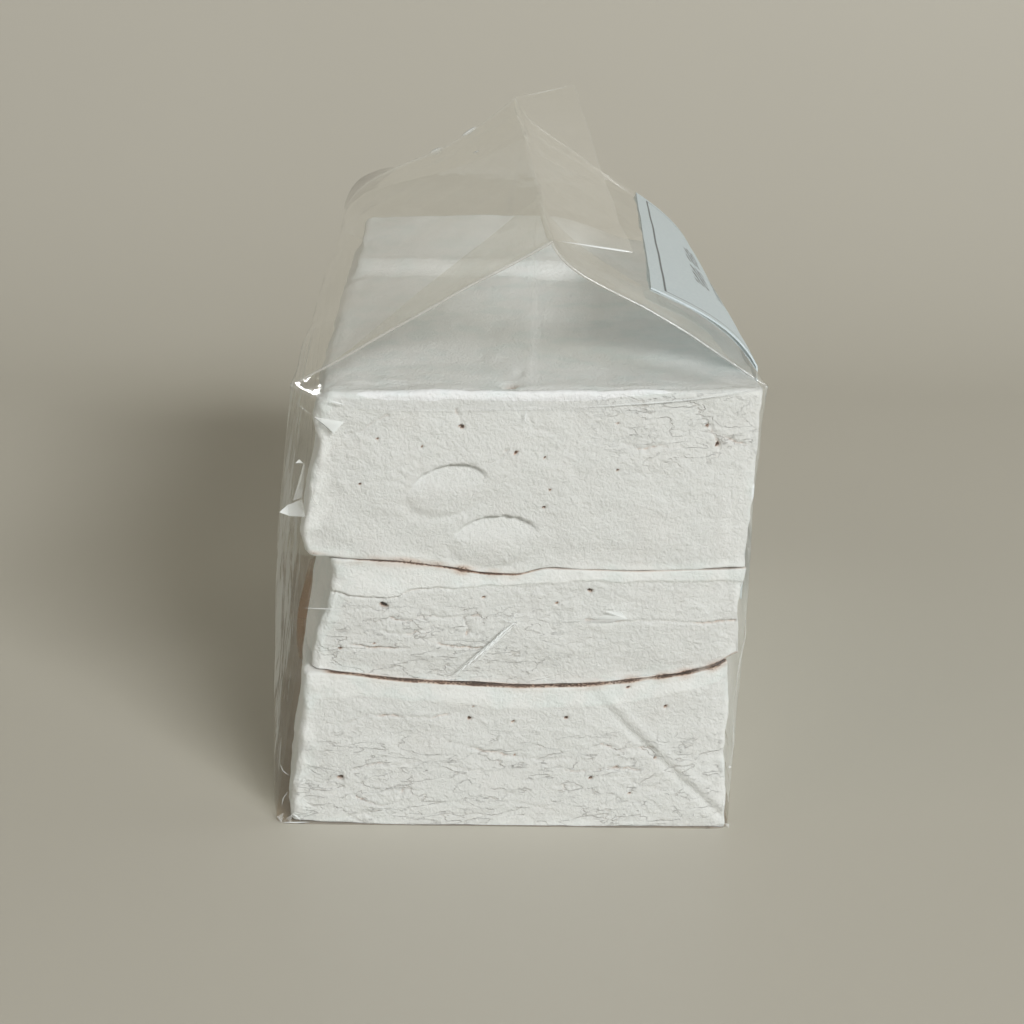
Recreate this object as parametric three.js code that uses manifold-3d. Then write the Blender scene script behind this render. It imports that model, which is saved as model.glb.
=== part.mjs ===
// A sealed clear gusset bag of marshmallow slabs, with a paper label on one face.
//
// Millimetres, +Z up. X runs across the bag and Y along it, and the origin is the
// middle of the flat base. The bag is one solid, the outer form of the filled pack: a
// block bottom, upright walls, and a gable roof whose two panels meet at a ridge. At
// both ends the gusset is tucked in under the roof, which leaves an open pocket there.
// The sealed fin of film stands on the ridge and is folded over to the right.
import * as THREE from 'three';
import Module from 'manifold-3d';
import { mergeVertices } from 'three/addons/utils/BufferGeometryUtils.js';

// ---- Driving dimensions. A pair holds the value at the near end and at the far end. ----
const LENGTH = 127;
const BASE = { left: [-38, -41.5], right: [37.4, 37.4] };
const SHOULDER = {
  left: { x: [-34.6, -34.7], z: [75.3, 74.6] },
  right: { x: [38.6, 38.6], z: [76.3, 74.3] },
};
const RIDGE = { x: [4.9, 2.3], z: [98.3, 103] };
const LEAN_POWER = 3; // how late the left wall leans in on its way up
const EDGE_RADIUS = 2.5; // the walls' four upright edges
const EDGE_RUNOUT = 0.9; // share of a wall's height above which that radius runs out

const LEFT_BULGE = [0, 4.6]; // the left roof panel puffs out above its shoulder
const RIGHT_BULGE = 2; // the label rounds the right roof panel over its shoulder
const RIDGE_DIP = [1.6, 1.5]; // the right roof panel is drawn in under the fin
const BULGE_PLACE = 0.22; // from the shoulder, 0, to the ridge, 1
const DIP_PLACE = 0.85;
const BULGE_START = 11.5; // how far in from an end the right panel is at its fullest
const RIDGE_FLAT = 0.985; // where the roof stops, in the thickness of the seal
const ROOF_SLOPE = 35; // degrees, beside the ridge

const SEAMS = [26.5, 45.5]; // heights of the joints between the slabs
const SEAM_DEPTH = 1.2; // how far the film follows them at the ends
const SEAM_WIDTH = 7;
const SEAM_FADE = 8; // short of the upright edges

const POCKET_DEPTH = 38; // half the bag's width, as the gusset folds on its middle
const POCKET_END = 33; // short of the fold's point, where it closes up
const POCKET_TOP = 0.96; // how far up the roof its two sides stay apart
const FLAP = 1; // the roof with the folded gusset under it
const FLAP_START = 0.05; // where a pocket leaves the shoulder
const SAG = 3.8; // dip of a pocket's sill between the shoulders
const SAG_REACH = 14; // how far in from the end the sill is straight again
const SAG_POWER = { left: 6, right: 2 }; // steep beside the left shoulder, gentle at the right

const FIN = { width: 12.4, thickness: 0.8, tilt: [-7.6, 13.9], droop: 9, root: 0.7 };

const LABEL = {
  length: 101,
  height: 60,
  nearEdge: -51, // Y of its near upper corner
  upperEdge: 21.3, // that corner's distance from the shoulder, up the roof
  skew: 2.9, // degrees
  gap: 0.45, // clear of the film
  thickness: 0.5,
  bend: [0.03, 0.04], // shares of its height above and below the shoulder, where it bends
};

// ---- Where the surfaces are divided ----
const NEAR_STATIONS = [0, 0.3 * EDGE_RADIUS, EDGE_RADIUS, 7, BULGE_START]; // from each end
const POCKET_STATIONS = [-2, 0, 2.5, 5, 8, 11, SAG_REACH, 19, 24, 29, POCKET_END];
const STEPS = {
  between: 9, // along the bag, between the stations of both ends
  across: 12,
  wall: 26,
  roof: 12,
  pocketSide: 5,
  sill: 10,
  fin: [16, 4],
  label: { length: 14, roof: 7, wall: 5 },
};

// ---- Helpers ----
const RAD = Math.PI / 180;
const { clamp, lerp, smoothstep } = THREE.MathUtils;
const at = (pair, t) => lerp(pair[0], pair[1], t);
const steps = (count) => Array.from({ length: count + 1 }, (_, i) => i / count);
const alongY = (t) => (t - 0.5) * LENGTH;
const shareOf = (y) => y / LENGTH + 0.5;

// A curve over 0 to 1 that is 0 at both ends and 1 at its peak.
function hump(s, peak) {
  const rise = Math.max(1, peak / (1 - peak));
  const fall = Math.max(1, (1 - peak) / peak);
  const curve = (u) => u ** rise * (1 - u) ** fall;
  return curve(clamp(s, 0, 1)) / curve(peak);
}

// ---- The pack's outline across X and Z, at t along the length ----

// Up a roof panel: s is 0 at the shoulder and 1 at the ridge. depth is under the surface.
function roofPoint(side, s, t, depth = 0) {
  const foot = new THREE.Vector2(at(SHOULDER[side].x, t), at(SHOULDER[side].z, t));
  const run = new THREE.Vector2(at(RIDGE.x, t), at(RIDGE.z, t)).sub(foot);
  const outward = new THREE.Vector2(-run.y, run.x).normalize();
  const share = clamp(t, 0, 1);
  let rise = at(LEFT_BULGE, share) * hump(s, BULGE_PLACE);
  if (side === 'right') {
    outward.negate();
    const fromEnd = LENGTH * Math.min(share, 1 - share);
    rise = RIGHT_BULGE * smoothstep(fromEnd, 0, BULGE_START) * hump(s, BULGE_PLACE);
    rise -= at(RIDGE_DIP, share) * hump(s, DIP_PLACE);
  }
  return foot.addScaledVector(run, s).addScaledVector(outward, rise - depth);
}

// Up a wall: v is 0 on the base and 1 at the shoulder.
function wallPoint(side, v, t) {
  const top = SHOULDER[side];
  const lean = side === 'left' ? v ** LEAN_POWER : v;
  return new THREE.Vector2(lerp(at(BASE[side], t), at(top.x, t), lean), v * at(top.z, t));
}

// How far the film of an end wall is drawn in at a joint between two slabs.
function seamDepth(z, fromEdge) {
  let depth = 0;
  for (const seam of SEAMS) {
    const away = Math.min(1, (2 * Math.abs(z - seam)) / SEAM_WIDTH);
    depth += (SEAM_DEPTH * (1 + Math.cos(Math.PI * away))) / 2;
  }
  return depth * smoothstep(fromEdge, 0, SEAM_FADE);
}

// ---- Meshes ----

// A closed mesh from points and triangles, with its faces turned outwards.
function closedMesh(points, triangles) {
  const volume = triangles.reduce((sum, [a, b, c]) => {
    const normal = new THREE.Vector3().crossVectors(points[b], points[c]);
    return sum + points[a].dot(normal);
  }, 0);
  const faces = volume > 0 ? triangles : triangles.map(([a, b, c]) => [a, c, b]);
  const geometry = new THREE.BufferGeometry().setFromPoints(points);
  geometry.setIndex(faces.flat());
  return geometry;
}

// The band of triangles between each closed ring of points and the next.
function bands(rings) {
  const count = rings[0].length;
  const triangles = [];
  for (let r = 0; r + 1 < rings.length; r += 1) {
    for (let i = 0; i < count; i += 1) {
      const a = r * count + i;
      const b = r * count + ((i + 1) % count);
      triangles.push([a, b, b + count], [a, b + count, a + count]);
    }
  }
  return triangles;
}

// A solid through closed rings with equal counts. Each end is a fan from its middle.
function loft(rings) {
  const count = rings[0].length;
  const points = rings.flat();
  const triangles = bands(rings);
  for (const [start, first] of [[0, true], [points.length - count, false]]) {
    const middle = points.length + (first ? 0 : 1);
    for (let i = 0; i < count; i += 1) {
      const a = start + i;
      const b = start + ((i + 1) % count);
      triangles.push(first ? [b, a, middle] : [a, b, middle]);
    }
  }
  const middles = [rings[0], rings.at(-1)].map((ring) => {
    const sum = ring.reduce((total, p) => total.add(p), new THREE.Vector3());
    return sum.divideScalar(count);
  });
  return closedMesh([...points, ...middles], triangles);
}

// A thin plate: point(a, b, side) has side 0 for its inner face and 1 for its outer.
function plate(aSteps, bSteps, point) {
  const rings = aSteps.map((a) => [
    ...bSteps.map((b) => point(a, b, 0)),
    ...bSteps.toReversed().map((b) => point(a, b, 1)),
  ]);
  const count = rings[0].length;
  const triangles = bands(rings);
  for (const [start, first] of [[0, true], [(rings.length - 1) * count, false]]) {
    for (let i = 0; i + 1 < bSteps.length; i += 1) {
      const [p, q] = [start + i, start + i + 1];
      const [r, s] = [start + count - 1 - i, start + count - 2 - i];
      triangles.push(first ? [q, p, r] : [p, q, r], first ? [q, r, s] : [q, s, r]);
    }
  }
  return closedMesh(rings.flat(), triangles);
}

const wasm = await Module();
wasm.setup();

function toSolid(geometry) {
  const merged = mergeVertices(geometry);
  return new wasm.Manifold(
    new wasm.Mesh({
      numProp: 3,
      vertProperties: merged.attributes.position.array,
      triVerts: new Uint32Array(merged.index.array),
    }),
  );
}

function toGeometry(solid) {
  const mesh = solid.getMesh();
  const geometry = new THREE.BufferGeometry();
  geometry.setAttribute('position', new THREE.BufferAttribute(mesh.vertProperties, 3));
  geometry.setIndex(new THREE.BufferAttribute(mesh.triVerts, 1));
  return geometry;
}

// ---- The filled bag ----

// Stations along the length, close together where the upright edges are rounded.
function stations() {
  const between = steps(STEPS.between).map((u) => lerp(BULGE_START, LENGTH - BULGE_START, u));
  const far = NEAR_STATIONS.map((d) => LENGTH - d).reverse();
  return [...NEAR_STATIONS.slice(0, -1), ...between, ...far.slice(1)].map((d) => d / LENGTH);
}

// The pack's outline at one level, seen from above. outline(side, t) is its side at t.
function levelRing(outline, roundness) {
  const place = stations();
  const across = steps(STEPS.across).slice(1, -1);
  const onSide = (side, t) => {
    const fromEnd = LENGTH * Math.min(t, 1 - t);
    const short = Math.max(0, EDGE_RADIUS - fromEnd);
    const inset = roundness * (EDGE_RADIUS - Math.sqrt(EDGE_RADIUS ** 2 - short ** 2));
    const p = outline(side, t);
    return new THREE.Vector3(p.x + (side === 'left' ? inset : -inset), alongY(t), p.y);
  };
  const onEnd = (t, share) => {
    const point = onSide('left', t).lerp(onSide('right', t), share);
    const width = onSide('right', t).x - onSide('left', t).x;
    const depth = seamDepth(point.z, width * Math.min(share, 1 - share));
    point.y += t === 0 ? depth : -depth;
    return point;
  };
  return [
    ...across.map((u) => onEnd(0, u)),
    ...place.map((t) => onSide('right', t)),
    ...across.toReversed().map((u) => onEnd(1, u)),
    ...place.toReversed().map((t) => onSide('left', t)),
  ];
}

function filledForm() {
  const round = (v) => 1 - smoothstep(v, EDGE_RUNOUT, 1);
  const walls = steps(STEPS.wall).map((v) =>
    levelRing((side, t) => wallPoint(side, v, t), round(v)),
  );
  const roof = steps(STEPS.roof)
    .slice(1)
    .map((s) => levelRing((side, t) => roofPoint(side, s * RIDGE_FLAT, t), 0));
  return loft([...walls, ...roof]);
}

// The open space over the tucked gusset, from just outside the end to the fold's point.
// end is 0 at the near end and 1 at the far end.
function pocket(end) {
  const rings = POCKET_STATIONS.map((d) => {
    const t = end === 0 ? d / LENGTH : 1 - d / LENGTH;
    const start = lerp(FLAP_START, 1, Math.max(0, d) / POCKET_DEPTH);
    const up = steps(STEPS.pocketSide).map((u) => lerp(start, POCKET_TOP, u));
    const left = up.map((s) => roofPoint('left', s, t, FLAP));
    const right = up.map((s) => roofPoint('right', s, t, FLAP));
    const top = roofPoint('left', 1, t);
    top.y -= FLAP / Math.cos(ROOF_SLOPE * RAD);
    const sag = SAG * (1 - clamp(d / SAG_REACH, 0, 1)) ** 2;
    const sill = steps(STEPS.sill).slice(1, -1).map((u) => {
      const power = u < 0.5 ? SAG_POWER.right : SAG_POWER.left;
      const dip = sag * (1 - Math.abs(2 * u - 1) ** power);
      return right[0].clone().lerp(left[0], u).sub(new THREE.Vector2(0, dip));
    });
    const ring = [...left, top, ...right.toReversed(), ...sill];
    return ring.map((p) => new THREE.Vector3(p.x, alongY(t), p.y));
  });
  return loft(rings);
}

// The fin: film sealed above the ridge and folded over, low at the near end.
function fin() {
  return plate(steps(STEPS.fin[0]), steps(STEPS.fin[1]), (t, b, side) => {
    const tilt = (at(FIN.tilt, t) - FIN.droop * 4 * t * (1 - t)) * RAD;
    const run = new THREE.Vector2(Math.cos(tilt), Math.sin(tilt));
    const up = new THREE.Vector2(-run.y, run.x);
    const p = new THREE.Vector2(at(RIDGE.x, t), at(RIDGE.z, t));
    p.addScaledVector(run, lerp(-FIN.root, FIN.width, b));
    p.addScaledVector(up, (side - 1) * FIN.thickness);
    return new THREE.Vector3(p.x, alongY(t), p.y);
  });
}

function bag() {
  const form = toSolid(filledForm());
  const open = form.subtract(toSolid(pocket(0))).subtract(toSolid(pocket(1)));
  return toGeometry(open.add(toSolid(fin())));
}

// ---- The paper label, over the right shoulder ----

// The bag's right-hand skin at y, where rise is the distance up the roof from the
// shoulder, or down the wall where it is negative.
function rightSkin(y, rise) {
  const t = shareOf(y);
  const foot = new THREE.Vector2(at(SHOULDER.right.x, t), at(SHOULDER.right.z, t));
  const ridge = new THREE.Vector2(at(RIDGE.x, t), at(RIDGE.z, t));
  if (rise >= 0) return roofPoint('right', rise / foot.distanceTo(ridge), t);
  return wallPoint('right', 1 + rise / foot.y, t);
}

function label() {
  const skew = LABEL.skew * RAD;
  const shoulder = LABEL.upperEdge / LABEL.height; // share of the height at the shoulder
  const [above, below] = [shoulder - LABEL.bend[0], shoulder + LABEL.bend[1]];
  const down = [...steps(STEPS.label.roof).map((u) => u * above), shoulder];
  down.push(...steps(STEPS.label.wall).map((u) => lerp(below, 1, u)));
  const step = 1.2; // distance over which the skin's direction is averaged
  return plate(steps(STEPS.label.length), down, (a, b, side) => {
    const [right, fallen] = [a * LABEL.length, b * LABEL.height];
    const y = LABEL.nearEdge + right * Math.cos(skew) - fallen * Math.sin(skew);
    const fall = right * Math.sin(skew) + fallen * Math.cos(skew);
    const rise = LABEL.upperEdge - fall;
    const point = rightSkin(y, rise);
    const along = rightSkin(y, rise - step).sub(rightSkin(y, rise + step)).normalize();
    const outward = new THREE.Vector2(-along.y, along.x);
    point.addScaledVector(outward, LABEL.gap + side * LABEL.thickness);
    return new THREE.Vector3(point.x, y, point.y);
  });
}

// ---- The part ----
const film = new THREE.MeshStandardMaterial({ color: 0xbdbaa9, roughness: 0.12, metalness: 0 });
const paper = new THREE.MeshStandardMaterial({ color: 0xe4e8e6, roughness: 0.7, metalness: 0 });

const group = new THREE.Group();
for (const [name, geometry, material] of [
  ['bag', bag(), film],
  ['label', label(), paper],
]) {
  geometry.computeVertexNormals();
  const mesh = new THREE.Mesh(geometry, material);
  mesh.name = name;
  group.add(mesh);
}

export default group;
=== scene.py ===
# %% [markdown]
# # A sealed clear bag of marshmallow slabs
# Three thick slabs of white marshmallow stand one on another in a block-bottom bag of
# clear film. The bag's top is a gable: two roof panels meet in a seal that is folded over,
# and at both ends the gusset is tucked in under the roof. A paper label lies over the
# right shoulder. This lesson makes the slabs, the film, its creases and the label around a
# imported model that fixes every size, then sets a plain studio around them.

# %% Load the fixed frame
from math import cos, pi, radians, sin

import bmesh
import bpy
import numpy as np
from mathutils import Matrix, Vector, noise


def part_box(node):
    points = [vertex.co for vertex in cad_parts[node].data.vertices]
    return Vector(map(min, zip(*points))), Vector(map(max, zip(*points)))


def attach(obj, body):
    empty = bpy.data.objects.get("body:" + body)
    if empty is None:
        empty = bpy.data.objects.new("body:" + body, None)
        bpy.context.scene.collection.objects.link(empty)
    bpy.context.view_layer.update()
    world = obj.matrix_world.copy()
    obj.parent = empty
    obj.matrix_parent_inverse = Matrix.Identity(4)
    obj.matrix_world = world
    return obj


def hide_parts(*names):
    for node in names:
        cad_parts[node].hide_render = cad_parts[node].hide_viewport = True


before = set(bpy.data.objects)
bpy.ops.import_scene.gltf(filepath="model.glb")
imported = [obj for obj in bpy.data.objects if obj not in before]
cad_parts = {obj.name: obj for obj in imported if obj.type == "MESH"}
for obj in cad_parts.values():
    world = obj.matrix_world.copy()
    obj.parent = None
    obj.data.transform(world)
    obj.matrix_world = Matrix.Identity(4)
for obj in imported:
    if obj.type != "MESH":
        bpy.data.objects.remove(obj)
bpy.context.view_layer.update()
MM = 0.001
BAG_LOW, BAG_HIGH = (np.array(corner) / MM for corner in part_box("bag"))
print("bag box in mm:", BAG_LOW.round(1), BAG_HIGH.round(1))

# %% [markdown]
# ## The camera
# The lens stands a little above the pack and looks down at it by about 19 degrees, nearly
# square to the near end. Its axes are worked out from three angles, which is easier to
# read and to correct than a matrix of nine numbers.

# %% Place the camera
CAMERA = {"place": (-7.98, -351.67, 155.87), "down": 19.235, "yaw": 1.571, "roll": 1.404}
LENS, SENSOR = 68.55, 36.0


def camera_matrix(place, down, yaw, roll):
    down, yaw, roll = radians(down), radians(yaw), radians(roll)
    forward = Vector((sin(yaw) * cos(down), cos(yaw) * cos(down), -sin(down)))
    level = Vector((cos(yaw), -sin(yaw), 0))
    upright = level.cross(forward)
    right = cos(roll) * level + sin(roll) * upright
    up = -sin(roll) * level + cos(roll) * upright
    axes = Matrix((right, up, -forward)).transposed().to_4x4()
    return Matrix.Translation(Vector(place) * MM) @ axes


lens = bpy.data.cameras.new("camera")
lens.lens, lens.sensor_width, lens.clip_start = LENS, SENSOR, 0.01
camera = bpy.data.objects.new("camera", lens)
camera.matrix_world = camera_matrix(**CAMERA)
bpy.context.scene.collection.objects.link(camera)
bpy.context.scene.camera = camera

# %% [markdown]
# ## Small tools for shaping
# The slabs and the film are grids of points that numpy moves about, in millimetres. A
# modifier stack could displace them too, but plain arrays let one rule look at a point's
# height, its distance from an edge and its noise at the same time.

# %% Curves and noise over arrays of points


def at(pair, t):
    return pair[0] + (pair[1] - pair[0]) * t


def smooth(x, low, high):
    share = np.clip((x - low) / (high - low), 0, 1)
    return share * share * (3 - 2 * share)


def soft_curve(points, blur=1.2):
    """A function of x through the points, with its corners rounded over `blur` mm."""
    xs, zs = np.array(points, float).T
    places = np.arange(xs[0] - 9, xs[-1] + 9, blur / 4)
    bell = np.exp(-np.linspace(-2.5, 2.5, 21) ** 2)
    heights = np.pad(np.interp(places, xs, zs), 10, mode="edge")
    heights = np.convolve(heights, bell / bell.sum(), mode="valid")
    return lambda x: np.interp(x, places, heights)


def lumps(points, size, seed=0.0):
    """Smooth noise from about -1 to 1, with lumps `size` mm across: a number or three."""
    scaled = points / np.array(size, float) + (seed * 7.31, seed * 3.17, seed * 5.93)
    return np.array([noise.noise(p) for p in scaled.tolist()])


def crowded(count, crowd):
    """Shares from 0 to 1 that crowd towards both ends."""
    even = np.linspace(0, 1, count + 1)
    return (1 - crowd) * even + crowd * (0.5 - 0.5 * np.cos(pi * even))


# %% Turn arrays into mesh objects


def mesh_object(name, points, faces, material):
    """A smooth-shaded mesh object from points in mm."""
    mesh = bpy.data.meshes.new(name)
    mesh.from_pydata((points * MM).tolist(), [], faces.tolist())
    mesh.polygons.foreach_set("use_smooth", np.ones(len(mesh.polygons), bool))
    mesh.materials.append(material)
    item = bpy.data.objects.new(name, mesh)
    bpy.context.scene.collection.objects.link(item)
    return item


def new_piece(name, points, faces, material, layers, stands_for):
    """A piece of the pack. It rides on the pack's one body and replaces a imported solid."""
    piece = mesh_object(name, points, faces, material)
    for layer, values in layers.items():
        piece.data.attributes.new(layer, "FLOAT", "POINT").data.foreach_set("value", values)
    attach(piece, "root")
    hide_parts(stands_for)
    triangles = sum(len(face.vertices) - 2 for face in piece.data.polygons)
    print(f"{name}: {len(points)} points, {triangles} triangles")
    return piece


def grid(a, b):
    """Two arrays that hold every pair of a value of a and a value of b."""
    return np.meshgrid(a, b, indexing="ij")


def grid_faces(rows, columns, first=0):
    ids = first + np.arange(rows * columns).reshape(rows, columns)
    corners = ids[:-1, :-1], ids[:-1, 1:], ids[1:, 1:], ids[1:, :-1]
    return np.stack(corners, axis=-1).reshape(-1, 4)


# %% [markdown]
# ## Finishes: shared effects
# Grain, cracks and dust come back in several materials, so each is a node group that puts
# out only masks and heights. The shaders stay in the materials, where their constants are
# easy to find. The values that run between nodes are wrapped as wires, which can be added,
# subtracted and multiplied: a mask then reads as a formula instead of a chain of calls.

# %% Node helpers


class Wire:
    """A node's output, in a form that arithmetic works on: each sum makes a math node."""

    def __init__(self, node, output=0):
        self.tree, self.socket = node.id_data, node.outputs[output]

    def __add__(self, other):
        return calc("ADD", self, other)

    def __sub__(self, other):
        return calc("SUBTRACT", self, other)

    def __rsub__(self, other):
        return calc("SUBTRACT", other, self)

    def __mul__(self, other):
        return calc("MULTIPLY", self, other)

    def __truediv__(self, other):
        return calc("DIVIDE", self, other)

    def __abs__(self):
        return calc("ABSOLUTE", self)


def feed(node, inputs):
    """Set a node's inputs to numbers, colours, wires or the first outputs of other nodes."""
    for key, value in inputs.items():
        if isinstance(value, bpy.types.Node):
            value = Wire(value)
        if isinstance(value, Wire):
            node.id_data.links.new(value.socket, node.inputs[key])
        else:
            node.inputs[key].default_value = value


def add_node(tree, kind, inputs=None, **settings):
    node = tree.nodes.new(kind)
    for key, value in settings.items():
        setattr(node, key, value)
    feed(node, inputs or {})
    return node


def calc(operation, a, b=0.5, clamp=False):
    tree = (a if isinstance(a, Wire) else b).tree
    return Wire(add_node(tree, "ShaderNodeMath", {0: a, 1: b}, operation=operation, use_clamp=clamp))


def ramp(value, low, high, to_low=0.0, to_high=1.0):
    """A smooth step of a value from one range to another."""
    inputs = {0: value, 1: low, 2: high, 3: to_low, 4: to_high}
    return Wire(add_node(value.tree, "ShaderNodeMapRange", inputs, interpolation_type="SMOOTHSTEP"))


def blend_colour(share, one, other):
    inputs = {0: share, 6: one, 7: other}
    return Wire(add_node(share.tree, "ShaderNodeMix", inputs, data_type="RGBA"), 2)


def layer_value(tree, name):
    return Wire(add_node(tree, "ShaderNodeAttribute", attribute_name=name), "Fac")


def noise_value(place, scale, detail=2.0, roughness=0.5, distortion=0.0):
    inputs = {"Vector": place, "Scale": scale, "Detail": detail, "Roughness": roughness,
              "Distortion": distortion}
    return Wire(add_node(place.tree, "ShaderNodeTexNoise", inputs))


# %% Start a group or a material


def new_group(name, inputs, outputs):
    """An empty group with float inputs and the named outputs. Returns it and both ends."""
    group = bpy.data.node_groups.new(name, "ShaderNodeTree")
    for label, value in inputs.items():
        socket = group.interface.new_socket(label, in_out="INPUT", socket_type="NodeSocketFloat")
        socket.default_value = value
    for label in outputs:
        group.interface.new_socket(label, in_out="OUTPUT", socket_type="NodeSocketFloat")
    return group, group.nodes.new("NodeGroupInput"), group.nodes.new("NodeGroupOutput")


def place_in_mm(tree, stretch=(1, 1, 1)):
    """The point on the piece in millimetres, so that a texture's scale is in 1/mm."""
    place = Wire(add_node(tree, "ShaderNodeTexCoord"), "Object")
    return Wire(add_node(tree, "ShaderNodeMapping", {"Vector": place, "Scale": [s / MM for s in stretch]}))


def new_material(name):
    material = bpy.data.materials.new(name)
    material.use_nodes = True
    material.node_tree.nodes.clear()
    return material, material.node_tree


# %% Group: crumb, the fine broken grain of cut marshmallow
crumb, entry, leave = new_group("crumb", {"Cracks": 1.0}, ["Height", "Crack", "Tint", "CreaseShade"])
spot, long_spot = place_in_mm(crumb), place_in_mm(crumb, (0.34, 0.8, 1.0))
grain = noise_value(spot, 2.3, detail=3.0, roughness=0.7)
bread = noise_value(long_spot, 0.75)
knobs = abs(noise_value(spot, 0.95, detail=1.5, distortion=0.3) - 0.5)
# A crack runs where slow noise passes through its middle value.
winding = abs(noise_value(long_spot, 0.42, detail=4.0, distortion=0.4) - 0.5)
width = ramp(noise_value(spot, 0.33), 0.45, 0.66, 0.002, 0.03)
crack = ramp(winding, 0.0, width, 1.0, 0.0) * Wire(entry, "Cracks")
feed(leave, {
    "Height": grain + bread * 0.4 + knobs * 1.6 - crack * 0.7,
    "Crack": crack,
    "Tint": noise_value(spot, 0.16, detail=3.0, roughness=0.6),
    # The creases between the knobs: a mask for their painted shade.
    "CreaseShade": ramp(knobs, 0.0, 0.035, 1.0, 0.0),
})

# %% [markdown]
# ## Marshmallow
# A cut slab has two kinds of surface. The cut ends are dry and crumbly, with fine cracks
# that run mostly level and a few deep pores. The skin on the top, bottom and sides is
# smooth. The mesh carries which is which as point layers, and the material reads them:
# `cut` for the crumb, and one for the warm brown shade painted into pores, cracks and joints.

# %% Make the marshmallow finish
SUGAR_WHITE = (0.89, 0.915, 0.92, 1)
SUGAR_WARM = (0.885, 0.865, 0.855, 1)
SUGAR_COOL = (0.84, 0.89, 0.895, 1)
CRUMB_TONE = (0.795, 0.815, 0.817, 1)
CREASE_SHADE = (0.70, 0.70, 0.68, 1)
SHADE_TAN = (0.60, 0.41, 0.30, 1)
SHADE_DARK = (0.12, 0.062, 0.042, 1)


def marshmallow_finish():
    material, tree = new_material("marshmallow")
    texture = add_node(tree, "ShaderNodeGroup", {"Cracks": layer_value(tree, "crazed")}, node_tree=crumb)
    tint, crack, grain, height = (Wire(texture, name) for name in ("Tint", "Crack", "CreaseShade", "Height"))
    cut, recess_shade = layer_value(tree, "cut"), layer_value(tree, "recess_shade")
    colour = blend_colour(ramp(tint, 0.36, 0.56), SUGAR_COOL, SUGAR_WHITE)
    colour = blend_colour(ramp(tint, 0.52, 0.72) * 0.8 * cut, colour, SUGAR_WARM)
    colour = blend_colour(cut * 0.85, colour, CRUMB_TONE)
    # Painted shade in the creases between the crumb's knobs.
    colour = blend_colour(grain * cut * 0.10, colour, CREASE_SHADE)
    # Painted shade: tan in the recesses and along the cracks, dark brown deep in the pores.
    shade_tint = calc("ADD", recess_shade, crack * cut * 0.16, clamp=True)
    colour = blend_colour(ramp(shade_tint, 0.0, 0.8), colour, SHADE_TAN)
    # Noise finer than the mesh gives the painted dark shade in the pores its ragged edges.
    speck = noise_value(place_in_mm(tree), 3.0) - 0.5
    dark = ramp(recess_shade + speck * 1.3, 0.42, 0.72) * ramp(recess_shade, 0.2, 0.5)
    colour = blend_colour(dark, colour, SHADE_DARK)
    rough_skin = height * ramp(cut, 0, 1, 0.75, 1.0)
    bump = add_node(tree, "ShaderNodeBump", {"Height": rough_skin, "Strength": 1.0, "Distance": 0.0002})
    shader = add_node(tree, "ShaderNodeBsdfPrincipled", {
        "Base Color": colour, "Roughness": 0.82, "Normal": bump, "Specular IOR Level": 0.3})
    add_node(tree, "ShaderNodeOutputMaterial", {"Surface": shader})
    return material


marshmallow = marshmallow_finish()

# %% [markdown]
# ## The slabs
# Each slab starts as a box of fine quads whose edges are rounded, is then bent to its real
# outline, and last gets its relief along the surface's own direction. The joints between
# slabs are not straight: the upper slab sags into the lower one, and both take the height
# of the joint from the same curve, so they can never cross.

# %% Outlines of the slabs, in mm
SLAB_ENDS = (-62.2, 54.5)
# Each joint: its height across the near end, its mean height, and how far it gapes.
JOINTS = {
    "lower": (soft_curve([(-33, 27.3), (-25.6, 26.8), (-17.5, 25.9), (-9.4, 25.5), (1.9, 25.1),
                          (11.7, 25.4), (18.1, 26.0), (27.8, 27.4), (33.4, 28.9), (37, 31.3)]), 26.0,
              soft_curve([(-33, 0.10), (-20, 0.13), (10, 0.16), (37, 0.18)])),
    "upper": (soft_curve([(-32, 47.1), (-26.3, 46.5), (-17.6, 46.3), (-9.7, 45.4), (-4.9, 44.5),
                          (1.4, 44.4), (5.4, 45.6), (11, 45.4), (20.5, 45.2), (37, 46)]), 45.6,
              soft_curve([(-32, 0.2), (-8, 0.24), (2, 0.2), (8, 0.09), (37, 0.06)])),
}
FLOOR_GAP = 0.12
TOP_LEVEL = soft_curve([(-32, 73.3), (-20, 73.9), (0, 74.4), (20, 74.7), (37, 75.2)], blur=4)
JOINT_FADE = 26.0  # how deep behind the near end a joint keeps the form it shows there
TURN = 2.0  # a mark at x on the near end comes back at TURN - x on the far end


def joint_height(joint, x, y):
    """The near end shows the joint's curve, and the far end shows it turned round."""
    curve, level, _ = JOINTS[joint]
    level = level + 0.10 * np.sin(0.9 * x + 1.3 * np.sin(0.31 * x)) + 0.05 * np.sin(2.7 * x + 0.4 * y)
    near = np.exp(-(y - SLAB_ENDS[0]) / JOINT_FADE)
    far = np.exp(-(SLAB_ENDS[1] - y) / JOINT_FADE)
    return level + near * (curve(x) - level) + 0.7 * far * (curve(TURN - x) - level)


def joint_face(joint, side, x, y):
    """The slab's face at a joint: side is -1 under the joint and 1 over it."""
    return joint_height(joint, x, y) + side * JOINTS[joint][2](x) / 2


def back_rise(x, y):
    """The top slab is a little thicker behind, and the step up to that catches the light."""
    start = np.interp(x, (-30, 0, 18), (21.5, 20, 16))
    step, slope = 2.6 * smooth(y - start, 0, 4.5), 3.0 * smooth(y - start, 6, 34)
    return (step + slope) * (1 - smooth(x, 8, 30))


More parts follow.
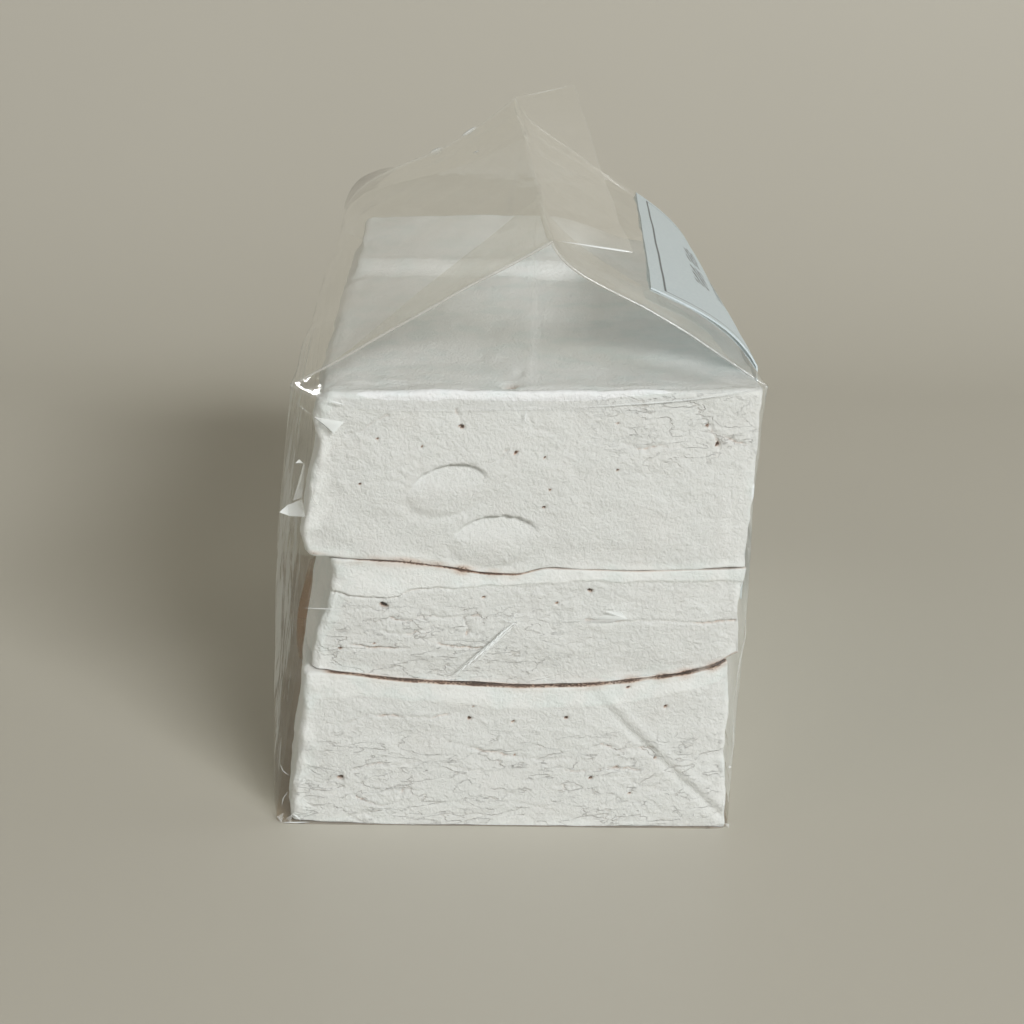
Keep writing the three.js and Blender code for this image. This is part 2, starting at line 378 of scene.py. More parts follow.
# Each slab: x of its sides at each height, its lower and upper face, how much wider it is
# behind, how its ends swell, how far it stands forward, and a number that sets its noise.
SLABS = {
    "slab_bottom": {
        "left": soft_curve([(0, -35.9), (3, -35.8), (8, -35.1), (13, -34.4), (19, -33.7), (26, -33.1)]),
        "right": soft_curve([(0, 36.5), (9, 36.2), (15.5, 35.6), (20, 35.9), (25, 35.9), (31, 35.3)]),
        "under": lambda x, y: FLOOR_GAP + 0 * x,
        "over": lambda x, y: joint_face("lower", -1, x, y),
        "flare": 1.2, "belly": 0.5, "forward": 0.6, "seed": 1.0,
    },
    "slab_middle": {
        "left": soft_curve([(27, -31.9), (31, -31.6), (35, -30.8), (39, -29.4), (43, -28.7), (46, -28.7)]),
        "right": soft_curve([(27, 37), (31, 37.3), (37, 36.8), (41, 36.7), (44, 37.4), (47, 37.6)]),
        "under": lambda x, y: joint_face("lower", 1, x, y),
        "over": lambda x, y: joint_face("upper", -1, x, y),
        "flare": 2.4, "belly": 0.0, "forward": 0.0, "seed": 2.0,
    },
    "slab_top": {
        "left": soft_curve([(46, -31.6), (47.5, -32.9), (50, -33.6), (53, -33.3), (56, -32.6),
                            (60.7, -31.3), (65, -30.7), (69, -30.9), (71.3, -31.0), (72.6, -30.3),
                            (74, -28.6), (76, -28.2)]),
        "right": soft_curve([(46, 37.3), (54, 37.7), (62, 38), (74, 38.2)]),
        "under": lambda x, y: joint_face("upper", 1, x, y),
        "over": lambda x, y: TOP_LEVEL(x) + back_rise(x, y),
        "flare": 0.5, "belly": 0.0, "forward": 0.0, "seed": 3.0,
    },
}

# %% [markdown]
# The relief is a sum of simple terms, each with its own mask. Named marks come from lists:
# pores as (x, z, radius), long cracks as lines across the near face, and two thumb-sized
# dents. The far face carries the same marks, turned round.

# %% Marks on the near faces, in mm
PORES = {
    "slab_top": [(-8.1, 68.8, 0.75), (-21.3, 66.4, 0.45), (15.9, 69.7, 0.5), (29.8, 69.6, 0.4),
                 (16.2, 62.3, 0.45), (4.7, 63.9, 0.5), (5.8, 59, 0.4), (-14.4, 65.6, 0.4),
                 (31.5, 66.5, 0.45), (-24, 59.2, 0.35), (0.4, 64.8, 0.5), (5, 55.9, 0.5)],
    "slab_middle": [(-20.3, 38.7, 1.15), (12.8, 41.8, 0.8), (-4.4, 40.3, 0.5), (7.5, 39.6, 0.5),
                    (-27, 31.1, 0.5), (-21.5, 32, 0.35)],
    "slab_bottom": [(-6.3, 19.6, 0.65), (0.9, 18.8, 0.6), (9.7, 19.7, 0.6), (25.6, 22.0, 0.65),
                    (-27.2, 8.3, 1.0), (20.4, 6.3, 0.5), (14, 9, 0.6), (24.5, 12.6, 0.5),
                    (-5.5, 21.6, 0.4), (1.5, 13, 0.4), (19.6, 25.3, 0.5)],
}
CRACKS = {
    "slab_top": [[(-26, 67), (-23.6, 67.8), (-21.5, 69.4), (-19.5, 70.6)],
                 [(17, 66.6), (20, 65.7), (23, 66.2), (26.5, 65.9)],
                 [(28.5, 72), (30.5, 69.3), (31.5, 67.5), (32, 65.6)],
                 [(30.5, 69), (33, 67.6), (36.5, 66.4)], [(2, 70.6), (3.2, 68.6), (6, 68.2)],
                 [(-4.4, 62.9), (-2.4, 63.6), (-1.2, 65.4)], [(-9, 71.4), (-8.2, 69.4)]],
    "slab_middle": [[(-19, 36.6), (-16.5, 36.2), (-13, 37), (-9.4, 36.8), (-5, 37.4)],
                    [(-20.5, 34.4), (-17, 33.8), (-14.6, 34.4), (-12.6, 35.2)],
                    [(-7.6, 37), (-6.6, 35.4), (-7, 34)], [(-11.5, 32.3), (-8, 31.6), (-4.6, 31.8)],
                    [(-25.5, 31.8), (-22, 31.2), (-16, 31.4)],
                    [(12, 36.9), (19, 36.6), (25, 36.9), (31, 36.5), (36.6, 36.8)]],
    "slab_bottom": [[(-27, 17.4), (-25.6, 18.5), (-22.4, 19.8), (-17.5, 19.6), (-12.6, 19.4), (-9.4, 20.1)],
                    [(-26, 9.6), (-21, 11.2), (-19.6, 11), (-14.4, 11.6)],
                    [(-10, 11.4), (-6, 10), (-3.6, 10.1)],
                    [(-9.6, 15.4), (-4.6, 13.8), (1, 12.8), (6.6, 12.2), (10.5, 12.6)],
                    [(8, 11), (12, 10.2), (17, 11), (22, 10.4)], [(15.5, 15), (19, 14.1), (24, 14.6)],
                    [(-24.6, 5), (-21, 3.4), (-17.6, 4.2), (-17, 6.4)]],
}
# Centre x and z, half width and half height, how deep, and how far it leans.
DENTS = [(-10.2, 58.4, 6.4, 4.2, 1.3, 0.22), (-2.6, 50.0, 7.2, 4.3, 1.15, 0.10)]
PRESSED_LINE = [(12.6, 25.3), (24, 13.8), (36.2, 1.9)]  # where a crease of film dug in
# How far the smooth rim reaches up from the bottom, and how deep the crumb lies behind it.
LIP = {"slab_bottom": (0.2, 0.12), "slab_middle": (0.9, 0.3), "slab_top": (0.9, 0.0)}
TOP_LIP = 0.5  # how far the rim of the top slab reaches down from its upper edge
# How strongly the middle slab's crumb is undercut below its rim, at each x.
UNDERCUT = soft_curve([(-33, 0.8), (-27, 1), (-15, 1), (-9, 0.5), (-2, 0.25), (6, 0.0), (38, 0.0)])
# How dense the fine cracks are, by place, and the lower edge of the smooth upper rim.
CRAZED = {"slab_bottom": lambda x, z: 0.15 + 0.85 * smooth(19 - z, 0, 5),
          "slab_middle": lambda x, z: 0.25 + 0.75 * smooth(40 - z, 0, 3) * smooth(12 - x, 0, 10),
          "slab_top": lambda x, z: 0.12 + 0.88 * smooth(x, 8, 22) * smooth(z, 60, 67)}
LIP_EDGES = {
    "slab_middle": soft_curve([(-32, 39), (-27.8, 41.4), (-26.3, 40.4), (-24, 40), (-18.4, 40.1),
                               (-15.7, 41.7), (-9.6, 42.1), (0, 42.6), (10, 43.4), (38, 44)]),
    "slab_bottom": soft_curve([(-35, 22), (-24, 23.4), (-12, 22.4), (0, 21.4), (12, 21.8),
                               (24, 23.5), (30, 25.4), (38, 28)]),
}

# %% Distances from the marks


def distance_to_line(x, z, line):
    """The distance from each point to a chain of straight stretches, without and with a sign."""
    nearest, signed = np.full(len(x), 1e9), np.zeros(len(x))
    for (x0, z0), (x1, z1) in zip(line[:-1], line[1:]):
        run = np.hypot(x1 - x0, z1 - z0)
        along = ((x - x0) * (x1 - x0) + (z - z0) * (z1 - z0)) / run**2
        along = np.clip(along, 0, 1)
        away = np.hypot(x - x0 - along * (x1 - x0), z - z0 - along * (z1 - z0))
        side = np.sign((x - x0) * (z1 - z0) - (z - z0) * (x1 - x0))
        signed = np.where(away < nearest, side * away, signed)
        nearest = np.minimum(nearest, away)
    return nearest, signed


def near_zero(distance, width):
    return np.exp(-((distance / width) ** 2))


def swell_or(least, swell):
    """A crack's strength along its run: it thins out to `least` of its full depth."""
    return least + (1 - least) * swell


# %% Make a box of fine quads and bend it to a slab's outline
SLAB_CELLS = (250, 56, 104)  # across, along and up
CELL_CROWDING = (0.2, 0.85, 0.25)
SLAB_SIZE = {"slab_bottom": (70, 24), "slab_middle": (70, 24), "slab_top": (70, 27)}  # across and up
MID_HEIGHT = 30.0
STEP_ROWS = np.arange(15, 28, 1.6)  # extra rows of points, where the top slab has its step
EDGE_ROUND, CORNER_ROUND, CORNER_REACH = 0.32, 1.7, 4.5  # the upright left edges are rounder
FLARE_START, FLARE_END = -60, -44  # y where a slab starts to widen, and where it is full
BELLY, BELLY_FADE = 0.8, 12


def box_shell(stops):
    """The points on the six sides of a box of lattice lines, and the quads between them."""
    shape = tuple(len(s) for s in stops)
    rim = np.zeros(shape, bool)
    for axis in range(3):
        for end in (0, -1):
            rim[tuple(end if a == axis else slice(None) for a in range(3))] = True
    ids = np.full(shape, -1)
    ids[rim] = np.arange(rim.sum())
    points = np.stack([stops[a][index] for a, index in enumerate(np.nonzero(rim))], axis=1)
    faces = []
    for axis in range(3):
        for end in (0, -1):
            sheet = np.take(ids, end, axis=axis)
            quads = np.stack([sheet[:-1, :-1], sheet[1:, :-1], sheet[1:, 1:], sheet[:-1, 1:]], -1)
            outward = (end == -1) != (axis == 1)
            faces.append(quads.reshape(-1, 4) if outward else quads.reshape(-1, 4)[:, ::-1])
    return points, np.concatenate(faces)


def slab_form(name, spec, near_end):
    """A box with round edges, bent to the slab's outline. Each point has its share of the
    way across, along and up, and a direction outward."""
    wide, tall = SLAB_SIZE[name]
    size = np.array([wide, SLAB_ENDS[1] - near_end, tall])
    stops = [crowded(count, c) * span for count, span, c in zip(SLAB_CELLS, size, CELL_CROWDING)]
    if name == "slab_top":
        stops[1] = np.sort(np.append(stops[1], STEP_ROWS - near_end))
    points, faces = box_shell(stops)
    corner = np.exp(-points[:, :1] / CORNER_REACH)
    radius = EDGE_ROUND + (CORNER_ROUND - EDGE_ROUND) * corner * np.array([1, 1, 0.12])
    inner = np.clip(points, radius, size - radius)
    away = (points - inner) / radius
    away /= np.linalg.norm(away, axis=1, keepdims=True)
    share = (inner + radius * away) / size
    outward = away / radius
    outward /= np.linalg.norm(outward, axis=1, keepdims=True)
    y, z = near_end + share[:, 1] * size[1], share[:, 2] * tall
    x = spec["left"](MID_HEIGHT) + share[:, 0] * wide
    for _ in range(3):  # the outline's x depends on z, and its z on x
        under, over = spec["under"](x, y), spec["over"](x, y)
        z = under + share[:, 2] * (over - under)
        left = spec["left"](z) - spec["flare"] * smooth(y, FLARE_START, FLARE_END)
        x = left + share[:, 0] * (spec["right"](z) - left)
    # The ends swell a little: most in the middle, or for the lowest slab at its foot.
    belly = BELLY * (1 - (2 * share[:, 0] - 1) ** 4)
    belly *= 0.35 + 0.65 * np.sin(pi * np.maximum(share[:, 2], 0) * (1 - spec["belly"]) + pi * spec["belly"])
    y = y + belly * (np.exp(-(1 - share[:, 1]) * BELLY_FADE) - np.exp(-share[:, 1] * BELLY_FADE))
    return np.stack([x, y, z], axis=1), faces, share, outward


# %% [markdown]
# A cut face of marshmallow dries to a crust that breaks into knobs and level cracks.
# A displace modifier would raise the whole end alike, while here the crust, the cracks and
# the pores each keep to their own places. Every function gives heights in millimetres, and
# where a mark gets painted brown shade it gives that too.

# %% Shape the cut ends and their dents


def cut_relief(name, spec, points, x, z):
    """Height of the crumbly cut end, its painted brown shade, and how crumbly and how crazed it is."""
    lip_low, step = LIP[name]
    top_edge = LIP_EDGES[name](x) if name in LIP_EDGES else spec["over"](x, points[:, 1]) - TOP_LIP
    wander = 0.5 * lumps(points, 2.6, 11) + 0.8 * lumps(points, 6, 12)
    below_lip = top_edge - z + 0.5 * wander
    crumbly = smooth(below_lip, -0.1, 0.35)
    height = -step * crumbly
    crumbly *= smooth(z - spec["under"](x, points[:, 1]) - lip_low + 1.4 * wander, -0.5, 1.2)
    crumbly *= smooth(x - spec["left"](z) - 2.0 + 3.0 * wander, -0.4, 1.2)
    crumbly *= smooth(spec["right"](z) - x - 0.2 + wander, -0.5, 1.0)
    patchy = 0.35 + 0.65 * smooth(lumps(points, 11, spec["seed"]), -0.3, 0.3)
    height += 0.30 * lumps(points, (9, 6, 5), 1) + 0.14 * lumps(points, (4.2, 3, 2.4), 2)
    # The dried crust breaks into knobs, large and small: sharp creases with round backs between.
    knobs = np.abs(lumps(points, (2.3, 2, 1.8), 3)) - 0.25
    beads = np.abs(lumps(points, (1.05, 1, 0.9), 4)) - 0.25
    height += (0.25 + 0.75 * crumbly) * (0.25 * patchy * knobs + 0.11 * beads)
    # Where slow noise passes through zero, a thin winding line runs: that is a crack.
    crazed = CRAZED[name](x, z)
    bent_x, bent_z = x + 0.3 * lumps(points, 1.6, 8), z + 0.3 * lumps(points, 1.6, 9)
    ragged = 0.16 * lumps(points, 0.6, 10)
    swell = smooth(lumps(points, (5, 4, 2.5), 13), -0.15, 0.35)
    veins = near_zero(lumps(points, (7, 5, 1.9), spec["seed"] + 5) + 0.3 * ragged, 0.045)
    network = crazed * crumbly * swell * veins
    height -= 0.24 * network
    # The recesses get painted brown shade: the crack network, the undercut below the rim, the long cracks
    # and the pores.
    recess_shade = 0.1 * network
    if name == "slab_middle":
        rim = UNDERCUT(x) * near_zero(below_lip - 0.1 + ragged, 0.17)
        height -= 0.5 * rim
        recess_shade += 0.24 * rim
    for line in CRACKS[name]:
        away, _ = distance_to_line(bent_x, bent_z, line)
        away = away + ragged
        height -= 0.6 * swell_or(0.4, swell) * near_zero(away, 0.2)
        recess_shade += 0.42 * swell_or(0.3, swell) * near_zero(away, 0.18)
    for px, pz, radius in PORES[name]:
        away = np.hypot(bent_x - px, (bent_z - pz) * 1.15) + ragged
        hole = 1 - smooth(away, 0.3 * radius, 0.7 * radius)
        height -= 1.5 * radius * hole
        recess_shade += 0.95 * hole
    return height, np.clip(recess_shade, 0, 1), crumbly, crazed


def dent_relief(x, z, points):
    """Thumb-sized dents: a sharp step down at the upper rim, and a soft pillow below it."""
    height, inside = 0 * x, 0 * x
    rough = 0.035 * lumps(points, 1.3, 14) + 0.02 * lumps(points, 0.6, 15)
    for cx, cz, wide, high, deep, lean in DENTS:
        u = (x - cx) / wide
        v = (z - cz - lean * (x - cx)) / high
        ring = np.hypot(u, v) + rough
        upper = smooth(v + 0.15 * u, 0.0, 0.6)
        height -= deep * upper * smooth(1.0 - ring, 0.0, 0.06) * np.clip(1.1 - 1.1 * (1 - v), 0, 1)
        height += 0.32 * deep * np.clip(1 - ring**2, 0, 1) * smooth(-v, -0.5, 0.3)
        height -= 0.16 * deep * near_zero(ring - 1.05, 0.16) * smooth(-v - 0.3 * u, -0.2, 0.6)
        inside = np.maximum(inside, smooth(1.0 - ring, -0.05, 0.2))
    return height, inside


# %% Shape the top skin
# Wrinkles across the top, as y, depth and seed, and bumps as x, y, width and height.
TOP_WRINKLES = ((-60.2, 0.42, 24), (-57.6, 0.24, 25))
TOP_BUMPS = ((-19, -55.6, 4.2, 0.5), (-3.6, -40, 2.2, 0.6), (12, -46, 3, 0.25),
             (0.8, -51, 1.2, -0.6), (-1, -58.2, 1.6, -0.7), (22, -50, 4, 0.2))


def top_relief(x, y, points):
    """The top skin: low waves across the slab and two wrinkles along its near edge."""
    height = 0.26 * lumps(points, (14, 9, 9), 21) + 0.12 * lumps(points, (6, 3.4, 4), 22)
    height += 0.06 * lumps(points, (1.8, 1.3, 1.5), 23)
    for base, deep, seed in TOP_WRINKLES:
        line = base + 0.9 * lumps(np.stack([x, 0 * x, 0 * x], axis=1), (13, 9, 9), seed)
        height += deep * (0.5 * near_zero(y - line + 1.1, 0.8) - near_zero(y - line, 0.38))
    for cx, cy, wide, rise in TOP_BUMPS:
        away = np.hypot((x - cx) / wide, (y - cy + 0.25 * (x - cx)) / 1.5)
        height += rise * (1 - smooth(away, 0.4, 1.1))
    return height


# %% Stain the joints and build the slabs
CORE_REACH, HALO_REACH = (0.05, 0.26), (0.2, 1.6)  # how far the painted shade runs from a joint
TOP_SPOT = ((-0.6, 1.5), (-57.8, 1.1))  # a spot of painted brown shade in the small dent on the skin: x and y, each with its reach
END_FACING, TOP_FACING = (0.55, 0.95), (0.5, 0.95)  # how square to an end or to the top


def joint_shade(points, mirrored_x):
    """Painted brown shade along both joints: a dark core, and a paler halo over more than a millimetre."""
    x, y, z = points.T
    shade_tint = np.zeros(len(x))
    rightward, leftward = smooth(mirrored_x, 4, 34), smooth(6 - mirrored_x, 0, 9)
    for joint, core, halo in (("lower", 0.5 - 0.2 * rightward, 0.35 + 0.65 * rightward),
                              ("upper", 0.3 + 0.55 * leftward, leftward)):
        gap = np.abs(z - joint_height(joint, x, y))
        shade_tint += core * (1 - smooth(gap, *CORE_REACH))
        shade_tint += 0.42 * halo * (1 - smooth(gap, *HALO_REACH)) * (0.6 + lumps(points, 3, 16))
    return shade_tint


def make_slab(name, spec):
    near_end = SLAB_ENDS[0] - spec["forward"]
    points, faces, share, outward = slab_form(name, spec, near_end)
    x, y, z = points.T
    near, far = smooth(-outward[:, 1], *END_FACING), smooth(outward[:, 1], *END_FACING)
    ends, top = near + far, smooth(outward[:, 2], *TOP_FACING)
    mirrored_x = np.where(far > 0, TURN - x, x)
    height, recess_shade, crumbly, crazed = cut_relief(name, spec, points, mirrored_x, z)
    if name == "slab_top":
        dents, inside = dent_relief(mirrored_x, z, points)
        height = dents + height * (1 - 0.3 * inside)
    height, recess_shade = ends * height, ends * recess_shade
    height += (1 - np.maximum(near, far)) * (0.30 * lumps(points, 9, 31) + 0.12 * lumps(points, 3, 32))
    torn = (1 - smooth(share[:, 0], 0.0, 0.08)) + 0.6 * (1 - smooth(1 - share[:, 0], 0.0, 0.05))
    height += torn * (0.42 * lumps(points, (5, 5, 4), 33) + 0.3 * lumps(points, (2.2, 2, 1.8), 34))
    if name == "slab_top":
        height += top * top_relief(x, y, points)
        # A spot of painted brown shade in the dent near the front edge.
        (spot_x, wide), (spot_y, deep) = TOP_SPOT
        recess_shade += 0.5 * top * near_zero(x - spot_x, wide) * near_zero(y - spot_y, deep)
    if name == "slab_bottom":
        _, signed = distance_to_line(mirrored_x, z, PRESSED_LINE)
        groove = 0.26 * near_zero(signed + 1.4, 0.9) - 0.36 * near_zero(signed - 0.2, 0.6)
        height += ends * smooth(mirrored_x, 12, 20) * groove
    just_behind = 0.9 * near_zero(y - near_end, 5) * smooth(share[:, 0], 0.03, 0.08)
    # The joints' painted shade, carried a little onto the sides just behind the near end.
    recess_shade = np.clip(recess_shade + joint_shade(points, mirrored_x) * np.maximum(ends, 0.3 + just_behind), 0, 1)
    points = points + height[:, None] * outward
    points[:, 1] = np.maximum(points[:, 1], BAG_LOW[1] + 0.05)
    points[:, 2] = np.maximum(points[:, 2], FLOOR_GAP)
    layers = {"cut": crumbly * ends, "recess_shade": recess_shade, "crazed": crazed * ends}
    new_piece(name, points, faces, marshmallow, layers, "bag")


for name, spec in SLABS.items():
    make_slab(name, spec)

# %% [markdown]
# ## The film's outline
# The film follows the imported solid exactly, so its outline is the same set of small
# functions: a wall from the base to the shoulder, a roof panel from the shoulder to the
# ridge, and a dip where the tucked gusset's sill hangs between the shoulders.

# %% Outline of the bag across X and Z, at t along its length
LENGTH = BAG_HIGH[1] - BAG_LOW[1]
# Values in pairs are for the near and the far end. Shoulders have x and z, each as a pair.
BASE = {"left": (-38.0, -41.5), "right": (37.4, 37.4)}
SHOULDER = {"left": ((-34.6, -34.7), (75.3, 74.6)), "right": ((38.6, 38.6), (76.3, 74.3))}
RIDGE = ((4.9, 2.3), (98.3, 103.0))
LEAN_POWER = 3
EDGE_RADIUS = 2.5
# A roof panel bulges low down, and the right one dips below the ridge.
LEFT_BULGE, RIGHT_BULGE, RIDGE_DIP = (0, 4.6), 2, (1.6, 1.5)
BULGE_PLACE, DIP_PLACE, BULGE_START = 0.22, 0.85, 11.5
# The end walls dip in over the joints between the slabs, at these heights.
DIP_HEIGHTS, DIP_DEPTH, DIP_WIDTH, DIP_FADE = (26.5, 45.5), 1.2, 7, 8
TUCK_DEPTH, FLAP, FLAP_START = 38.0, 1.0, 0.05
SAG, SAG_REACH, SAG_POWERS = 3.8, 14, (6, 2)
FIN = {"width": 12.4, "tilt": (-7.6, 13.9), "droop": 9}

# %% The roof panels and the walls


def hump(s, peak):
    """From 0 at both ends of s to 1 at the peak's place."""
    rise, fall = max(1, peak / (1 - peak)), max(1, (1 - peak) / peak)
    s = np.clip(s, 0, 1)
    return s**rise * (1 - s) ** fall / (peak**rise * (1 - peak) ** fall)


def along(t):
    """Y at t, which is 0 at the near end and 1 at the far one."""
    return (t - 0.5) * LENGTH


def roof_point(side, s, t, depth=0.0):
    """Up a roof panel: s is 0 at the shoulder and 1 at the ridge."""
    foot_x, foot_z = (at(pair, t) for pair in SHOULDER[side])
    run_x, run_z = at(RIDGE[0], t) - foot_x, at(RIDGE[1], t) - foot_z
    slope = np.hypot(run_x, run_z)
    turn = 1 if side == "left" else -1
    share = np.clip(t, 0, 1)
    if side == "left":
        rise = at(LEFT_BULGE, share) * hump(s, BULGE_PLACE)
    else:
        from_end = LENGTH * np.minimum(share, 1 - share)
        rise = RIGHT_BULGE * smooth(from_end, 0, BULGE_START) * hump(s, BULGE_PLACE)
        rise = rise - at(RIDGE_DIP, share) * hump(s, DIP_PLACE)
    rise = rise - depth
    x = foot_x + run_x * s - turn * run_z / slope * rise
    z = foot_z + run_z * s + turn * run_x / slope * rise
    return np.stack(np.broadcast_arrays(x, along(t), z), axis=-1)


def wall_point(side, v, t):
    """Up a wall: v is 0 on the base and 1 at the shoulder."""
    top_x, top_z = (at(pair, t) for pair in SHOULDER[side])
    lean = v**LEAN_POWER if side == "left" else v
    short = np.maximum(0, EDGE_RADIUS - LENGTH * np.minimum(t, 1 - t))
    inset = (1 - smooth(v, 0.9, 1)) * (EDGE_RADIUS - np.sqrt(EDGE_RADIUS**2 - short**2))
    base = at(BASE[side], t)
    x = base + (top_x - base) * lean + (inset if side == "left" else -inset)
    return np.stack(np.broadcast_arrays(x, along(t), v * top_z), axis=-1)


# %% The ends and the tucked gussets


def sag_shape(u):
    """From 0 at both edges to 1: it drops fast beside the left edge and slowly from the right."""
    off = 2 * u - 1
    return 1 - np.abs(off) ** np.where(off < 0, *SAG_POWERS)


def end_point(end, u, v):
    """On an end wall: u is 0 at the left edge and 1 at the right one."""
    left, right = (wall_point(side, v, np.full_like(v, end)) for side in ("left", "right"))
    point = left + (right - left) * u[..., None]
    width = right[..., 0] - left[..., 0]
    depth = sum(
        DIP_DEPTH * (1 + np.cos(pi * np.minimum(1, 2 * np.abs(point[..., 2] - dip) / DIP_WIDTH))) / 2
        for dip in DIP_HEIGHTS)
    depth = depth * smooth(width * np.minimum(u, 1 - u), 0, DIP_FADE)
    point[..., 1] += depth if end == 0 else -depth
    point[..., 2] -= v**4 * SAG * sag_shape(u)
    return point


def tuck_start(d):
    """How far up the roof the tucked gusset has climbed at depth d behind the end."""
    return FLAP_START * np.minimum(1, d / 2) + (1 - FLAP_START) * d / TUCK_DEPTH


def tuck_point(end, u, d):
    """On the tucked gusset, which climbs from the sill to the ridge."""
    t = d / LENGTH if end == 0 else 1 - d / LENGTH
    depth = FLAP * np.minimum(1, d / 2)
    left, right = (roof_point(side, tuck_start(d), t, depth) for side in ("left", "right"))
    point = left + (right - left) * u[..., None]
    dip = SAG * (1 - np.clip(d / SAG_REACH, 0, 1)) ** 2
    point[..., 2] -= dip * sag_shape(u)
    return point


# %% [markdown]
# ## The film as sheets
# Clear film is so thin that one layer of faces stands for it. It is laid out as patches of
# grid: two walls, two ends, the bottom, two tucked gussets, two roof panels that turn over
# at their ends into the flaps under them, and the fin. Patches that share an edge use the
# same stops there, so merging close points sews them together. Slow noise then pulls the
# whole sheet about, as film that was folded and filled by hand is never flat.

# %% Lay out the patches
T_STOPS = crowded(92, 0.8)
U_STOPS = crowded(64, 0.6)
V_STOPS = crowded(58, 0.7)
S_STOPS = crowded(34, 0.5)
WALL, TUCK, HALF_WIDTH = 76, 70, 35  # rough sizes that turn shares into mm
patches = []


def lay(kind, points, crease):
    """Add a patch: its kind, its grid of points, and how creased it is at each."""
    patches.append((kind, points, crease))


for side in ("left", "right"):
    v, t = grid(V_STOPS, T_STOPS)
    from_end = LENGTH * np.minimum(t, 1 - t)
    folds = 0.4 * near_zero(v * WALL, 0.5) + 0.15 * near_zero(from_end - 1.2, 0.7)
    lay("wall", wall_point(side, v, t), folds + 0.25 * near_zero((1 - v) * WALL, 0.8))

tuck_depths = TUCK_DEPTH * crowded(52, 0.86)[:-1]
tuck_depths = np.append(tuck_depths, TUCK_DEPTH * 0.9995)
for end in (0, 1):
    v, u = grid(V_STOPS, U_STOPS)
    folds = 0.4 * near_zero(v * WALL, 0.5) + 0.2 * near_zero((1 - v) * WALL, 0.3)
    lay("end", end_point(end, u, v), folds)
    d, u = grid(tuck_depths, U_STOPS)
    folds = 0.2 * near_zero(d, 0.3) + 0.22 * near_zero((u - 0.5) * TUCK, 0.35)
    far_reflection = 0.16 * (1 - smooth(d, 8, 26)) if end == 1 else 0 * d  # white haze on the far tuck paints the slab top's reflection in it
    lay("tuck", tuck_point(end, u, d), folds + far_reflection)

# %% Roof panels with the turned-over flaps at both ends
BEAD, BEAD_STEPS, FLAP_STEPS = 0.2, 6, 26


def roof_columns(side, s):
    """A row of the roof at s, from the near flap's root over the panel to the far one's."""
    radius = BEAD * smooth(s, 0, FLAP_START)
    climb = np.linspace(0, TUCK_DEPTH, 400)
    root = np.interp(s, tuck_start(climb), climb)
    inner = np.full(FLAP_STEPS, radius)
    if root > radius:
        inner = radius + (root - radius) * crowded(FLAP_STEPS, 0.5)[1:][::-1]
    turn = np.linspace(pi, 0, BEAD_STEPS + 1)
    flap_depth = np.interp(inner, (radius, 6), (2 * radius, max(2 * radius, FLAP * min(1, root / 2))))
    near_d = np.concatenate([inner, radius * (1 - np.sin(turn))])
    near_depth = np.concatenate([np.minimum(flap_depth, FLAP), radius * (1 - np.cos(turn))])
    middle = radius + (LENGTH - 2 * radius) * T_STOPS[1:-1]
    d = np.concatenate([near_d, middle, LENGTH - near_d[::-1]])
    depth = np.concatenate([near_depth, 0 * middle, near_depth[::-1]])
    return roof_point(side, s, d / LENGTH, depth), 0.45 * near_zero(np.minimum(d, LENGTH - d), 0.25)


for side in ("left", "right"):
    rows, folds = zip(*(roof_columns(side, s) for s in S_STOPS))
    lay("roof", np.stack(rows), np.stack(folds))

# %% The fin over the ridge, and the bottom
b, t = grid(FIN["width"] * crowded(14, 0.5), T_STOPS)
tilt = np.radians(at(FIN["tilt"], t) - FIN["droop"] * 4 * t * (1 - t))
x, z = at(RIDGE[0], t) + b * np.cos(tilt), at(RIDGE[1], t) + b * np.sin(tilt)
rim = near_zero(FIN["width"] - b, 0.35) + near_zero(LENGTH * np.minimum(t, 1 - t), 0.35)
lay("fin", np.stack([x, along(t), z], axis=-1), 0.01 + 0.10 * rim)

u, t = grid(U_STOPS, T_STOPS)
left, right = wall_point("left", 0 * t, t), wall_point("right", 0 * t, t)
bottom = left + (right - left) * u[..., None]
bottom[..., 2] = 0.0
lay("bottom", bottom, 0.1 + 0 * t)

# %% Wrinkle the sheets and sew them together
PRESSED = {"half_width": 34, "top": 72, "front": -60}  # where the film lies flat on the slabs
SLOW_PULL, CRISP_PULL, FINE_PULL, CRUSHED_PULL = 0.42, 0.10, 0.05, 0.2


def film_pull(points):
    """How noise moves the film at each point, in mm. It depends on the place alone."""
    slow = [lumps(points, (26, 18, 22), 40 + axis) for axis in range(3)]
    crisp = [1 - 2.2 * np.abs(lumps(points, (15, 30, 9), 50 + axis)) for axis in range(3)]
    fine = [lumps(points, (6, 9, 5), 60 + axis) for axis in range(3)]
    pull = SLOW_PULL * np.array(slow) + CRISP_PULL * np.array(crisp) + FINE_PULL * np.array(fine)
    tight = [lumps(points, (1.5, 1.7, 1.2), 64 + axis) for axis in range(3)]
    # Round the four shoulder corners the film is crushed into small folds.
    off_corner = np.hypot(np.abs(points[:, 1]) - BAG_HIGH[1], points[:, 2] - SHOULDER["left"][1][0])
    crushed = near_zero(off_corner, 5) * near_zero(np.abs(points[:, 0]) - HALF_WIDTH, 6)
    return (pull + CRUSHED_PULL * crushed * np.array(tight)).T


